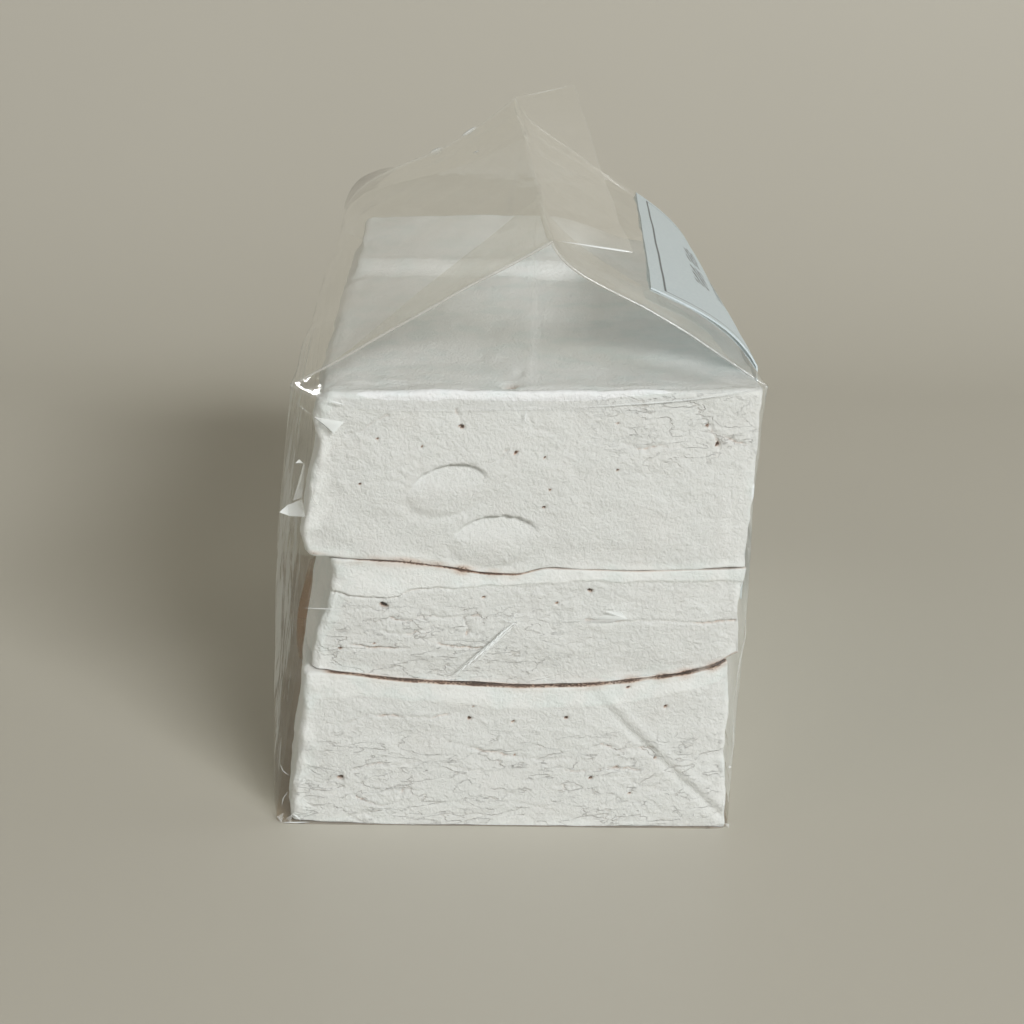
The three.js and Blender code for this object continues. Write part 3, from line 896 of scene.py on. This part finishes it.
def sew(name, wanted, material):
    """One piece from all patches of the wanted kinds, wrinkled and joined where they meet."""
    points, faces, crease, first = [], [], [], 0
    for kind, patch, fold in patches:
        if kind in wanted:
            points.append(patch.reshape(-1, 3))
            crease.append(fold.reshape(-1))
            faces.append(grid_faces(*fold.shape, first))
            first += fold.size
    points, crease = np.concatenate(points), np.concatenate(crease)
    settle = smooth(points[:, 2:], 0, 4)  # the base stays flat on the table
    points = points + settle * film_pull(points)
    points[:, 2] = np.maximum(points[:, 2], 0.02)
    points[:, 1] = np.clip(points[:, 1], BAG_LOW[1], BAG_HIGH[1])
    x, y, z = points.T
    pressed = (np.abs(x) < PRESSED["half_width"]) & (z < PRESSED["top"]) & (y < PRESSED["front"])
    points[pressed, 1] = np.minimum(y[pressed], BAG_LOW[1] + 0.04)
    layers = {"crease": np.clip(crease, 0, 1)}
    piece = new_piece(name, points, np.concatenate(faces), material, layers, "bag")
    sewn = bmesh.new()
    sewn.from_mesh(piece.data)
    bmesh.ops.remove_doubles(sewn, verts=sewn.verts, dist=0.03 * MM)
    bmesh.ops.dissolve_degenerate(sewn, edges=sewn.edges, dist=0.01 * MM)
    bmesh.ops.recalc_face_normals(sewn, faces=sewn.faces)
    sewn.to_mesh(piece.data)
    sewn.free()
    print(f"{name}: sewn to {len(piece.data.vertices)} points")


# %% [markdown]
# ## The film's finish
# Film this thin doesn't bend what is seen through it, so a solid glass shader would be the
# wrong choice: it would darken and shift the slabs. It is a clear sheet that mirrors more
# the flatter it is looked at. The share of mirror is a curve like Schlick's, doubled as the
# sheet has two faces, and it is taken from Layer Weight's Facing because that is the same
# from both sides. A little white haze stands for dust and scuffs. More of it on the creases
# whitens the folds as stressed film does, and also paints the bright lines the folds catch.

# %% Group: scuffs, the haze and the unevenness of handled film
scuffs, entry, leave = new_group("scuffs", {"Haze": 0.03, "Crease": 0.0}, ["Haze", "Roughness", "Height"])
spot, haze, crease = place_in_mm(scuffs), Wire(entry, "Haze"), Wire(entry, "Crease")
smudge = ramp(noise_value(spot, 0.07, detail=3.0, roughness=0.6), 0.4, 0.75)
speck = ramp(noise_value(spot, 1.3, detail=1.0), 0.69, 0.76)
feed(leave, {
    # On the creases the haze is partly the film's whitening and partly a painted highlight.
    "Haze": calc("ADD", haze * (smudge * 1.1 + 0.45 + speck * 1.6), crease * 0.5, clamp=True),
    "Roughness": smudge * 0.08 + crease * 0.25 + 0.06,
    "Height": noise_value(place_in_mm(scuffs, (1, 0.5, 1.4)), 0.11, detail=3.0, roughness=0.45),
})

# %% Make the film finish
MIRROR_SQUARE_ON, MIRROR_POWER = 0.04, 7.0
FILM_TINT = (0.985, 0.985, 0.97, 1)


def film_finish(name, haze, tint=FILM_TINT):
    material, tree = new_material(name)
    inputs = {"Haze": haze, "Crease": layer_value(tree, "crease")}
    texture = add_node(tree, "ShaderNodeGroup", inputs, node_tree=scuffs)
    haze, roughness, height = (Wire(texture, name) for name in ("Haze", "Roughness", "Height"))
    bump = add_node(tree, "ShaderNodeBump", {"Height": height, "Strength": 0.35, "Distance": 0.002})
    facing = Wire(add_node(tree, "ShaderNodeLayerWeight", {"Blend": 0.5}), "Facing")
    one_face = calc("POWER", facing, MIRROR_POWER) * (1 - MIRROR_SQUARE_ON) + MIRROR_SQUARE_ON
    two_faces = one_face * 2.0 / (one_face + 1.0)
    clear = add_node(tree, "ShaderNodeBsdfTransparent", {"Color": tint})
    dusty = add_node(tree, "ShaderNodeBsdfPrincipled", {
        "Base Color": (0.93, 0.95, 0.94, 1), "Roughness": 0.35, "Normal": bump})
    mirror = add_node(tree, "ShaderNodeBsdfGlossy", {
        "Color": (1, 1, 1, 1), "Roughness": roughness, "Normal": bump})
    body = add_node(tree, "ShaderNodeMixShader", {0: haze, 1: clear, 2: dusty})
    whole = add_node(tree, "ShaderNodeMixShader", {0: two_faces, 1: body, 2: mirror})
    add_node(tree, "ShaderNodeOutputMaterial", {"Surface": whole})
    return material


sew("film", ("wall", "end", "tuck", "roof"), film_finish("film", haze=0.035))
sew("film_fin", ("fin",), film_finish("film_seal", haze=0.01, tint=(1, 1, 0.99, 1)))
# The block bottom is folded from four layers. It passes less light, and warmer: its brown tint paints the
# warm shade of the floor seen through it.
sew("film_base", ("bottom",), film_finish("film_base", haze=0.02, tint=(0.66, 0.56, 0.43, 1)))

# %% [markdown]
# ## Creases and glints
# Film folded flat before it was filled keeps its folds: an inverted V on each end, whose
# point glitters, and short kinks at the corners. A fold is a narrow pleat of its own, raised
# a hair above the sheet, and a crushed spot is a few flat facets tilted towards the lamp.
# Their real slopes catch the light from every side, which a bump map on flat film would not do, and their
# white colour, as opaque as each one's shine, paints the glints.

# %% Make the glint finish
# White for the painted glints, brown for the painted shade.
GLINT_WHITE, HOLLOW_SHADE_BROWN = (0.93, 0.98, 0.975, 1), (0.15, 0.10, 0.06, 1)


def glint_finish():
    material, tree = new_material("film_glint")
    # Where the shine layer is high the piece is white and opaque: a painted glint. The other layer turns it
    # brown: painted shade.
    shader = add_node(tree, "ShaderNodeBsdfPrincipled", {
        "Base Color": blend_colour(layer_value(tree, "dark"), GLINT_WHITE, HOLLOW_SHADE_BROWN),
        "Roughness": 0.22, "Alpha": layer_value(tree, "shine"), "Coat Weight": 1.0, "Coat Roughness": 0.08})
    add_node(tree, "ShaderNodeOutputMaterial", {"Surface": shader})
    return material


# %% Shape pleats and facets on the film
PLEAT_STEPS = 14
PLEATS, FACETS = [], []
OUT = {"near": np.array([0, -1, 0]), "far": np.array([0, 1, 0])}


def on_end(places, face):
    """Points (x, z) on an end wall, moved as the wrinkled film is there."""
    x, z = np.array(places, float).T
    turn, y = (1, BAG_LOW[1]) if face == "near" else (-1, BAG_HIGH[1])
    points = np.stack([turn * x, 0 * x + y, z], axis=1)
    moved = points + film_pull(points) * smooth(points[:, 2:], 0, 4)
    moved[:, 1] = np.clip(moved[:, 1], BAG_LOW[1], BAG_HIGH[1])
    return moved


def add_pleat(line, out, width, height, shine, dark=0.0):
    """A tapered pleat along a line of points on the film, raised towards out."""
    across = np.cross(np.gradient(line, axis=0), out)
    across /= np.linalg.norm(across, axis=1, keepdims=True)
    taper = np.sqrt(np.sin(pi * np.clip(np.linspace(0, 1, len(line)), 0.02, 0.98)))[:, None]
    edge, lift = width / 2 * taper * across, 0.06 * out
    rows = np.stack([line - edge + lift, line + lift + height * taper * out, line + edge + lift], axis=1)
    PLEATS.append((rows, shine * taper, dark))


def chain(places, steps):
    """Evenly spaced places along a line of corners."""
    corners = np.array(places, float)
    share = np.linspace(0, len(corners) - 1, steps + 1)
    return np.stack([np.interp(share, range(len(corners)), column) for column in corners.T], axis=1)


def pleat(face, places, width, height, shine, steps=PLEAT_STEPS):
    """A pleat on an end wall: places are (x, z)."""
    add_pleat(on_end(chain(places, steps), face), OUT[face], width, height, shine)


def sill_pleat(face, low, high, width, shine):
    """A pleat on the edge between an end wall and its tuck, from low to high across it."""
    u = np.linspace(low, high, PLEAT_STEPS + 1)
    line = end_point(*((0, u) if face == "near" else (1, 1 - u)), np.ones(len(u)))
    add_pleat(line + film_pull(line), OUT[face] + (0, 0, 0.7), width, 0.05, shine)


def roof_pleat(places, width, height, shine, dark):
    """A pleat on the left roof panel: places are (share of the way up, y)."""
    s, y = chain(places, PLEAT_STEPS).T
    line = roof_point("left", s, y / LENGTH + 0.5)
    add_pleat(line + film_pull(line), np.array([-0.55, 0, 0.83]), width, height, shine, dark)


def facet(face, places, shine, steep=1.0):
    """A small flat kink turned towards the lamp: corners (x, z), each with its share of shine."""
    x, z = np.array(places, float).T
    lift = 0.08 + steep * np.clip(0.15 * (x.max() - x) + 0.08 * (z.max() - z), 0, 0.3)
    FACETS.append((on_end(places, face) + lift[:, None] * OUT[face], shine))


def glitter(face, places, steps, width, shine):
    """A crushed crease: a row of short steep facets along a line of places (x, z)."""
    spots = chain(places, steps)
    for k, (start, end) in enumerate(zip(spots, spots[1:])):
        across = np.array([start[1] - end[1], end[0] - start[0]]) / np.hypot(*(end - start))
        half = width / 2 * np.sqrt(np.sin(pi * (k + 0.6) / (steps + 0.2))) * across
        end = start + 0.86 * (end - start)
        corners = [start - half, start + half, end + 0.7 * half, end - 0.7 * half]
        facet(face, corners, (shine,) * 4, steep=3.4)


# %% The creases of the film
# On both end walls, as places (x, z), width, height and shine. First the inverted V of the
# bag's flat fold and its crushed point, then the left edge from the shoulder down, a level
# spark, a feathered crush, the folded corners of the base, and the right edge.
APEX = (0.3, 36.7)
END_CREASES = [
    ([APEX, (-9.1, 27.2)], 0.16, 0.08, 0.7),
    ([(0.1, 36.2), (-4, 31.2), (-8, 27.3)], 0.16, 0.08, 0.5),
    ([(-8.9, 27), (-37.2, 1.2)], 0.1, 0.04, 0.14),
    ([APEX, (13, 25)], 0.1, 0.04, 0.2),
    ([(13.3, 24.6), (36.6, 1.4)], 0.14, 0.04, 0.16),
    ([(-0.3, 36.4), (-2.2, 34.2), (-3.6, 32.8)], 0.14, 0.06, 0.6),
    ([(1.7, 72.0), (1.6, 69.9)], 0.22, 0.18, 0.7),
    ([(-34.1, 72.6), (-31.2, 70.3)], 0.12, 0.05, 0.25),
    ([(-34.4, 56.6), (-33.4, 59.5), (-32.7, 62.7)], 0.12, 0.05, 0.4),
    ([(-31.6, 62.0), (-31.5, 58.5), (-31.3, 56.8), (-30.6, 55.8), (-30.1, 56.9)], 0.14, 0.06, 0.5),
    ([(-32.8, 38.4), (-30, 38.3), (-25.8, 38.1)], 0.16, 0.08, 0.6),
    ([(7, 37.2), (10, 37.0), (12.4, 37.2), (14.4, 37.9)], 0.13, 0.05, 0.5),
    ([(-34.9, 1.9), (-33.7, 0.7)], 0.2, 0.1, 0.9),
    ([(-36.9, 0.35), (-34.5, 0.35), (-32.2, 0.45)], 0.2, 0.1, 0.9),
    ([(-37.0, 11.2), (-36.4, 9.7), (-35.4, 8.9)], 0.12, 0.05, 0.55),
    ([(-36.7, 3.2), (-36.4, 4.8), (-35.5, 6.2)], 0.14, 0.06, 0.4),
    ([(36.6, 11.4), (37.0, 11.2)], 0.4, 0.08, 0.9, 4),
    ([(36.1, 6.4), (36.4, 1.7)], 0.14, 0.06, 0.5),
    ([(37.3, 40), (37.7, 35), (37.0, 29), (36.7, 22)], 0.16, 0.08, 0.4),
    ([(36.6, 22), (37.2, 16), (36.9, 11)], 0.14, 0.06, 0.35),
]
STAR = ((20, 1.3), (75, 1.9), (130, 1.2), (165, 2.0), (330, 1.2), (290, 0.9))  # angles and lengths
for angle, size in STAR:
    tip = (APEX[0] + size * cos(radians(angle)), APEX[1] + size * sin(radians(angle)))
    END_CREASES.append(([APEX, tip], 0.14, 0.06, 0.7))
# Crushed creases, as places, steps, width and shine.
CRUSHED = [([(0.4, 36.6), (-1.4, 35.0), (-4.6, 31.5), (-8.6, 27.5)], 13, 0.34, 0.85),
           ([(0.2, 36.0), (-2.4, 33.6), (-4.6, 31.0)], 6, 0.22, 0.7)]
# Kinks, as corners and each corner's shine: shoulder, hollow fold, feathers, base corners.
KINKS = [
    ([(-31.1, 70.3), (-26.4, 69.6), (-28.0, 67.7), (-30.0, 69.6)], (0.35, 0.85, 0.75, 0.6)),
    ([(-36.6, 54.7), (-35.2, 55.9), (-35.1, 54.1)], (0.9, 0.6, 0.7)),
    ([(-35.2, 55.9), (-33.0, 56.8), (-32.5, 54.0), (-35.1, 54.1)], (0.5, 0.25, 0.3, 0.55)),
    ([(-34.4, 56.6), (-32.7, 62.7), (-32.5, 62.0), (-33.0, 57.1)], (0.3, 0.35, 0.1, 0.2)),
    ([(-34.0, 62.6), (-33.4, 63.2), (-32.8, 62.6)], (0.8, 0.9, 0.6)),
    ([(12.2, 37.1), (15.2, 38.2), (18.9, 37.5), (16.0, 37.0)], (0.2, 0.75, 0.7, 0.45)),
    ([(15.1, 38.9), (17.5, 38.7), (18.7, 37.4), (16.4, 38.1)], (0.8, 0.5, 0.8, 0.2)),
    ([(-37.6, 1.5), (-36.4, 2.2), (-36.9, 0.4)], (0.3, 0.15, 0.35)),
    ([(-36.2, 1.2), (-35.0, 1.9), (-35.4, 0.4)], (0.1, 0.35, 0.2)),
    ([(-33.6, 7.6), (-33.0, 8.3), (-32.5, 8.2), (-33.0, 7.9)], (0.4, 0.8, 0.5, 0.7)),
    ([(36.4, 1.2), (37.3, 1.0), (37.3, 0.3)], (0.2, 0.5, 0.3)),
]
# Along the sill, as both ends across it, width and shine.
SILL_CREASES = [(0.078, 0.115, 0.2, 0.8), (0.12, 0.6, 0.12, 0.2), (0.60, 0.99, 0.16, 0.75)]
FIN_EDGES = {"near": ([(6.2, -63.4, 98.2), (15.1, -63.4, 97.0), (17.1, -63.4, 96.75)], 0.9),
             "far": ([(3.2, 63.4, 103.3), (13.8, 63.4, 105.85)], 0.4)}
# On the roof's left panel, as places (share of the way up, y), width, height, shine, dark. The first is
# painted dark: shade along the far end of the panel.
ROOF_CREASES = [([(0.07, 62.4), (0.18, 62.2), (0.25, 62.2), (0.37, 62.4)], 1.8, 1.5, 0.2, 0.8),
                ([(0.54, 62.6), (0.60, 62.6)], 0.8, 0.5, 0.35, 0.0),
                ([(0.70, 63.2), (0.78, 63.2)], 0.35, 0.3, 0.8, 0.0),
                ([(0.742, 38.6), (0.77, 37.4)], 0.3, 0.2, 0.6, 0.0)]
HOLLOW = [(-31.5, 46.8), (-31.9, 43.4), (-32.5, 40.0), (-33.1, 36.5), (-33.4, 33.1), (-33.4, 29.6)]

# %% Lay the creases and join them into one piece
for face in OUT:
    for crease in END_CREASES:
        pleat(face, *crease)
    for crushed in CRUSHED:
        glitter(face, *crushed)
    for kink in KINKS:
        facet(face, *kink)
    for crease in SILL_CREASES:
        sill_pleat(face, *crease)
    edge, shine = FIN_EDGES[face]
    add_pleat(chain(edge, PLEAT_STEPS), OUT[face] + (0, 0, 0.7), 0.3, 0.1, shine)
# A nearly opaque brown pleat paints the shade seen through the near film in the hollow beside the middle
# slab.
add_pleat(on_end(chain(HOLLOW, PLEAT_STEPS), "near"), OUT["near"], 1.5, 0.0, 0.85, 1.0)
for crease in ROOF_CREASES:
    roof_pleat(*crease)

points = [rows.reshape(-1, 3) for rows, _, _ in PLEATS] + [corners for corners, _ in FACETS]
starts = np.cumsum([0] + [len(corners) for corners in points])
quads = np.concatenate([grid_faces(len(rows), 3, start) for (rows, _, _), start in zip(PLEATS, starts)])
triangles = [quads[:, :3], quads[:, [0, 2, 3]]]
for (corners, _), start in zip(FACETS, starts[len(PLEATS):]):
    fan = np.arange(1, len(corners) - 1)
    triangles.append(start + np.stack([0 * fan, fan, fan + 1], axis=1))
shine = np.concatenate([np.repeat(s, 3) for _, s, _ in PLEATS] + [np.array(s) for _, s in FACETS])
dark = np.concatenate([np.full(3 * len(s), d) for _, s, d in PLEATS] + [0 * np.array(s) for _, s in FACETS])
new_piece("film_glints", np.concatenate(points), np.concatenate(triangles), glint_finish(),
          {"shine": shine, "dark": dark}, "bag")

# %% [markdown]
# ## The paper label
# The label is a thin plate of paper bent over the shoulder. Its print is drawn by the
# material from the paper's own coordinates: a fine frame line, three short ragged strokes
# and plain bars where a maker would set text. Nothing on it is a word or a mark.

# %% Bend the label over the shoulder
LABEL = {"length": 101.0, "height": 60.0, "near": -51.0, "upper": 21.3, "skew": 2.9,
         "gap": 0.12, "thickness": 0.25}
SKIN_STEP = 1.2  # the skin's direction is averaged over this much of it


def right_skin(y, rise):
    """The bag's right-hand skin at y. rise is the way up the roof, or down the wall."""
    t = y / LENGTH + 0.5
    foot_x, foot_z = (at(pair, t) for pair in SHOULDER["right"])
    slope = np.hypot(at(RIDGE[0], t) - foot_x, at(RIDGE[1], t) - foot_z)
    roof = roof_point("right", np.maximum(rise, 0) / slope, t)
    down = 1 + np.minimum(rise, 0) / foot_z
    wall_x = at(BASE["right"], t) + (foot_x - at(BASE["right"], t)) * down
    wall = np.stack([wall_x, y, down * foot_z], axis=-1)
    return np.where((rise >= 0)[..., None], roof, wall)


def label_sheet(a, b, lift):
    skew = radians(LABEL["skew"])
    y = LABEL["near"] + a * LABEL["length"] * cos(skew) - b * LABEL["height"] * sin(skew)
    rise = LABEL["upper"] - a * LABEL["length"] * sin(skew) - b * LABEL["height"] * cos(skew)
    run = right_skin(y, rise - SKIN_STEP) - right_skin(y, rise + SKIN_STEP)
    run[..., 1] = 0
    run /= np.linalg.norm(run, axis=-1, keepdims=True)
    outward = np.stack([-run[..., 2], 0 * y, run[..., 0]], axis=-1)
    return right_skin(y, rise) + outward * (LABEL["gap"] + lift * LABEL["thickness"])


# %% Make the label finish
FRAME_INSET, FRAME_LINE = 2.6, 0.3
INK = (0.055, 0.055, 0.06, 1)
PAPER_TONES = ((0.61, 0.70, 0.735, 1), (0.68, 0.765, 0.79, 1))
PAPER_CLEARNESS = 0.6  # the share of lamp light that gets through the thin paper
# Bars as (along, down, half length, half height), in mm from the near upper corner.
HEADINGS = [(40, 11.5, 9, 1.5), (62, 11.5, 8, 1.5), (44, 16, 13, 0.9)]
BARS = [(50, 30, 24, 0.45), (50, 34, 18, 0.45)]
BARS += [(column, 44 + 3 * row, 13 - 2 * row, 0.35) for column in (25, 73) for row in range(3)]


def label_finish():
    material, tree = new_material("paper")
    along_mm, down_mm, spot = layer_value(tree, "along"), layer_value(tree, "down"), place_in_mm(tree)
    to_side = calc("MINIMUM", along_mm, LABEL["length"] - along_mm)
    to_edge = calc("MINIMUM", down_mm, LABEL["height"] - down_mm)
    off_line = abs(calc("MINIMUM", to_side, to_edge) - FRAME_INSET)
    ink = ramp(off_line, FRAME_LINE / 2, FRAME_LINE / 2 + 0.1, 1, 0) * 0.95
    # Waves across a slant, bent by slow noise and torn by fine noise, are a dry brush's bristles.
    rag = noise_value(spot, 0.9, detail=3.0, roughness=0.7) - 0.5
    slant = along_mm * 0.14 + down_mm
    stroke = calc("SINE", slant * 5.4 + noise_value(spot, 0.25) * 7.0)
    bristles = ramp(stroke + rag, -0.6, 0.8)
    for ragged, shapes in ((1.3, HEADINGS), (0.15, BARS)):
        for a, b, long, high in shapes:
            outside = calc("MAXIMUM", abs(along_mm - a) - long, abs(down_mm - b) - high)
            mark = ramp(outside + rag * ragged, -0.1, 0.1, 1, 0)
            ink = calc("MAXIMUM", ink, mark * bristles if shapes is HEADINGS else mark)
    fibre = noise_value(place_in_mm(tree, (1, 1, 2.5)), 1.4, detail=4.0, roughness=0.7)
    tone = blend_colour(ramp(fibre, 0.35, 0.7), *PAPER_TONES)
    bump = add_node(tree, "ShaderNodeBump", {"Height": fibre, "Strength": 0.25, "Distance": 0.0001})
    paper = add_node(tree, "ShaderNodeBsdfPrincipled", {
        "Base Color": blend_colour(ink * 0.85, tone, INK), "Roughness": 0.55, "Normal": bump})
    lit_through = Wire(add_node(tree, "ShaderNodeLightPath"), "Is Shadow Ray") * PAPER_CLEARNESS
    clear = add_node(tree, "ShaderNodeBsdfTransparent")
    whole = add_node(tree, "ShaderNodeMixShader", {0: lit_through, 1: paper, 2: clear})
    add_node(tree, "ShaderNodeOutputMaterial", {"Surface": whole})
    return material


a, b = grid(np.linspace(0, 1, 61), np.linspace(0, 1, 41))
faces_top = grid_faces(*a.shape)
top, under = label_sheet(a, b, 1.0), label_sheet(a, b, 0.0)
ripple = 0.12 * lumps(top.reshape(-1, 3), (11, 14, 11), 71).reshape(a.shape + (1,))
top, under = top + ripple, under + ripple
ids = np.arange(a.size).reshape(a.shape)
rim = np.concatenate([ids[0], ids[1:, -1], ids[-1, -2::-1], ids[-2:0:-1, 0]])
after = np.roll(rim, -1)
faces_rim = np.stack([rim, after, after + a.size, rim + a.size], axis=1)
label_points = np.concatenate([top.reshape(-1, 3), under.reshape(-1, 3)])
label_faces = np.concatenate([faces_top, faces_top[:, ::-1] + a.size, faces_rim[:, ::-1]])
label_layers = {"along": np.tile(a.ravel() * LABEL["length"], 2),
                "down": np.tile(b.ravel() * LABEL["height"], 2)}
label = new_piece("paper_label", label_points, label_faces, label_finish(), label_layers, "label")
label.data.set_sharp_from_angle(angle=radians(50))

# %% [markdown]
# ## The studio
# The pack stands on a plain warm grey sweep: a floor that turns up into a backdrop without
# a corner. A soft lamp stands in front and to the right, low enough to throw a long soft
# shadow back and to the left. A weak warm lamp from the left and the world fill the rest.

# %% Sweep, lamps and world
FLOOR_TONE = (0.535, 0.517, 0.45, 1)
SWEEP = {"width": 5000.0, "front": -2500.0, "turn": 203.0, "radius": 230.0, "height": 2500.0}
LAMP_TARGET = (0, 0, 0.045)
WORLD_TONE, WORLD_STRENGTH = (1.0, 0.82, 0.56, 1), 0.046


def sweep_mesh():
    angle = np.linspace(0, pi / 2, 24)
    y = np.concatenate([[SWEEP["front"]], SWEEP["turn"] + SWEEP["radius"] * np.sin(angle)])
    z = np.concatenate([[0.0], SWEEP["radius"] * (1 - np.cos(angle))])
    y, z = np.append(y, y[-1]), np.append(z, SWEEP["height"])
    x = np.linspace(-0.5, 0.5, 3) * SWEEP["width"]
    points = np.stack([np.tile(x, len(y)), np.repeat(y, 3), np.repeat(z, 3)], axis=1)
    return points, grid_faces(len(y), 3)


def sweep_finish():
    material, tree = new_material("sweep")
    mottle = noise_value(place_in_mm(tree), 0.004, detail=3.0)
    lighter = tuple(c * 1.06 for c in FLOOR_TONE[:3]) + (1,)
    shader = add_node(tree, "ShaderNodeBsdfPrincipled", {
        "Base Color": blend_colour(mottle, FLOOR_TONE, lighter), "Roughness": 0.42,
        "Specular IOR Level": 0.35})
    add_node(tree, "ShaderNodeOutputMaterial", {"Surface": shader})
    return material


mesh_object("sweep", *sweep_mesh(), sweep_finish())


def soft_lamp(name, azimuth, elevation, distance, size, power, colour=(1, 1, 1)):
    """A flat lamp, azimuth degrees to the right of the camera's side, facing its target."""
    data = bpy.data.lights.new(name, "AREA")
    data.shape, data.energy, data.color = "RECTANGLE", power, colour
    data.size, data.size_y = size
    lamp = bpy.data.objects.new(name, data)
    turn, lift = radians(azimuth), radians(elevation)
    away = Vector((sin(turn) * cos(lift), -cos(turn) * cos(lift), sin(lift)))
    lamp.location = Vector(LAMP_TARGET) + away * distance
    lamp.rotation_euler = away.to_track_quat("Z", "Y").to_euler()
    bpy.context.scene.collection.objects.link(lamp)


soft_lamp("key", azimuth=29, elevation=29.5, distance=2.6, size=(1.05, 0.32), power=55.0)
soft_lamp("fill", azimuth=-60, elevation=30, distance=2.6, size=(1.8, 1.8), power=9.0,
          colour=(1.0, 0.95, 0.88))

world = bpy.data.worlds.new("studio")
world.use_nodes = True
feed(world.node_tree.nodes["Background"], {"Color": WORLD_TONE, "Strength": WORLD_STRENGTH})
bpy.context.scene.world = world
bpy.context.scene.view_settings.view_transform = "Standard"
bpy.context.scene.cycles.transparent_max_bounces = 32
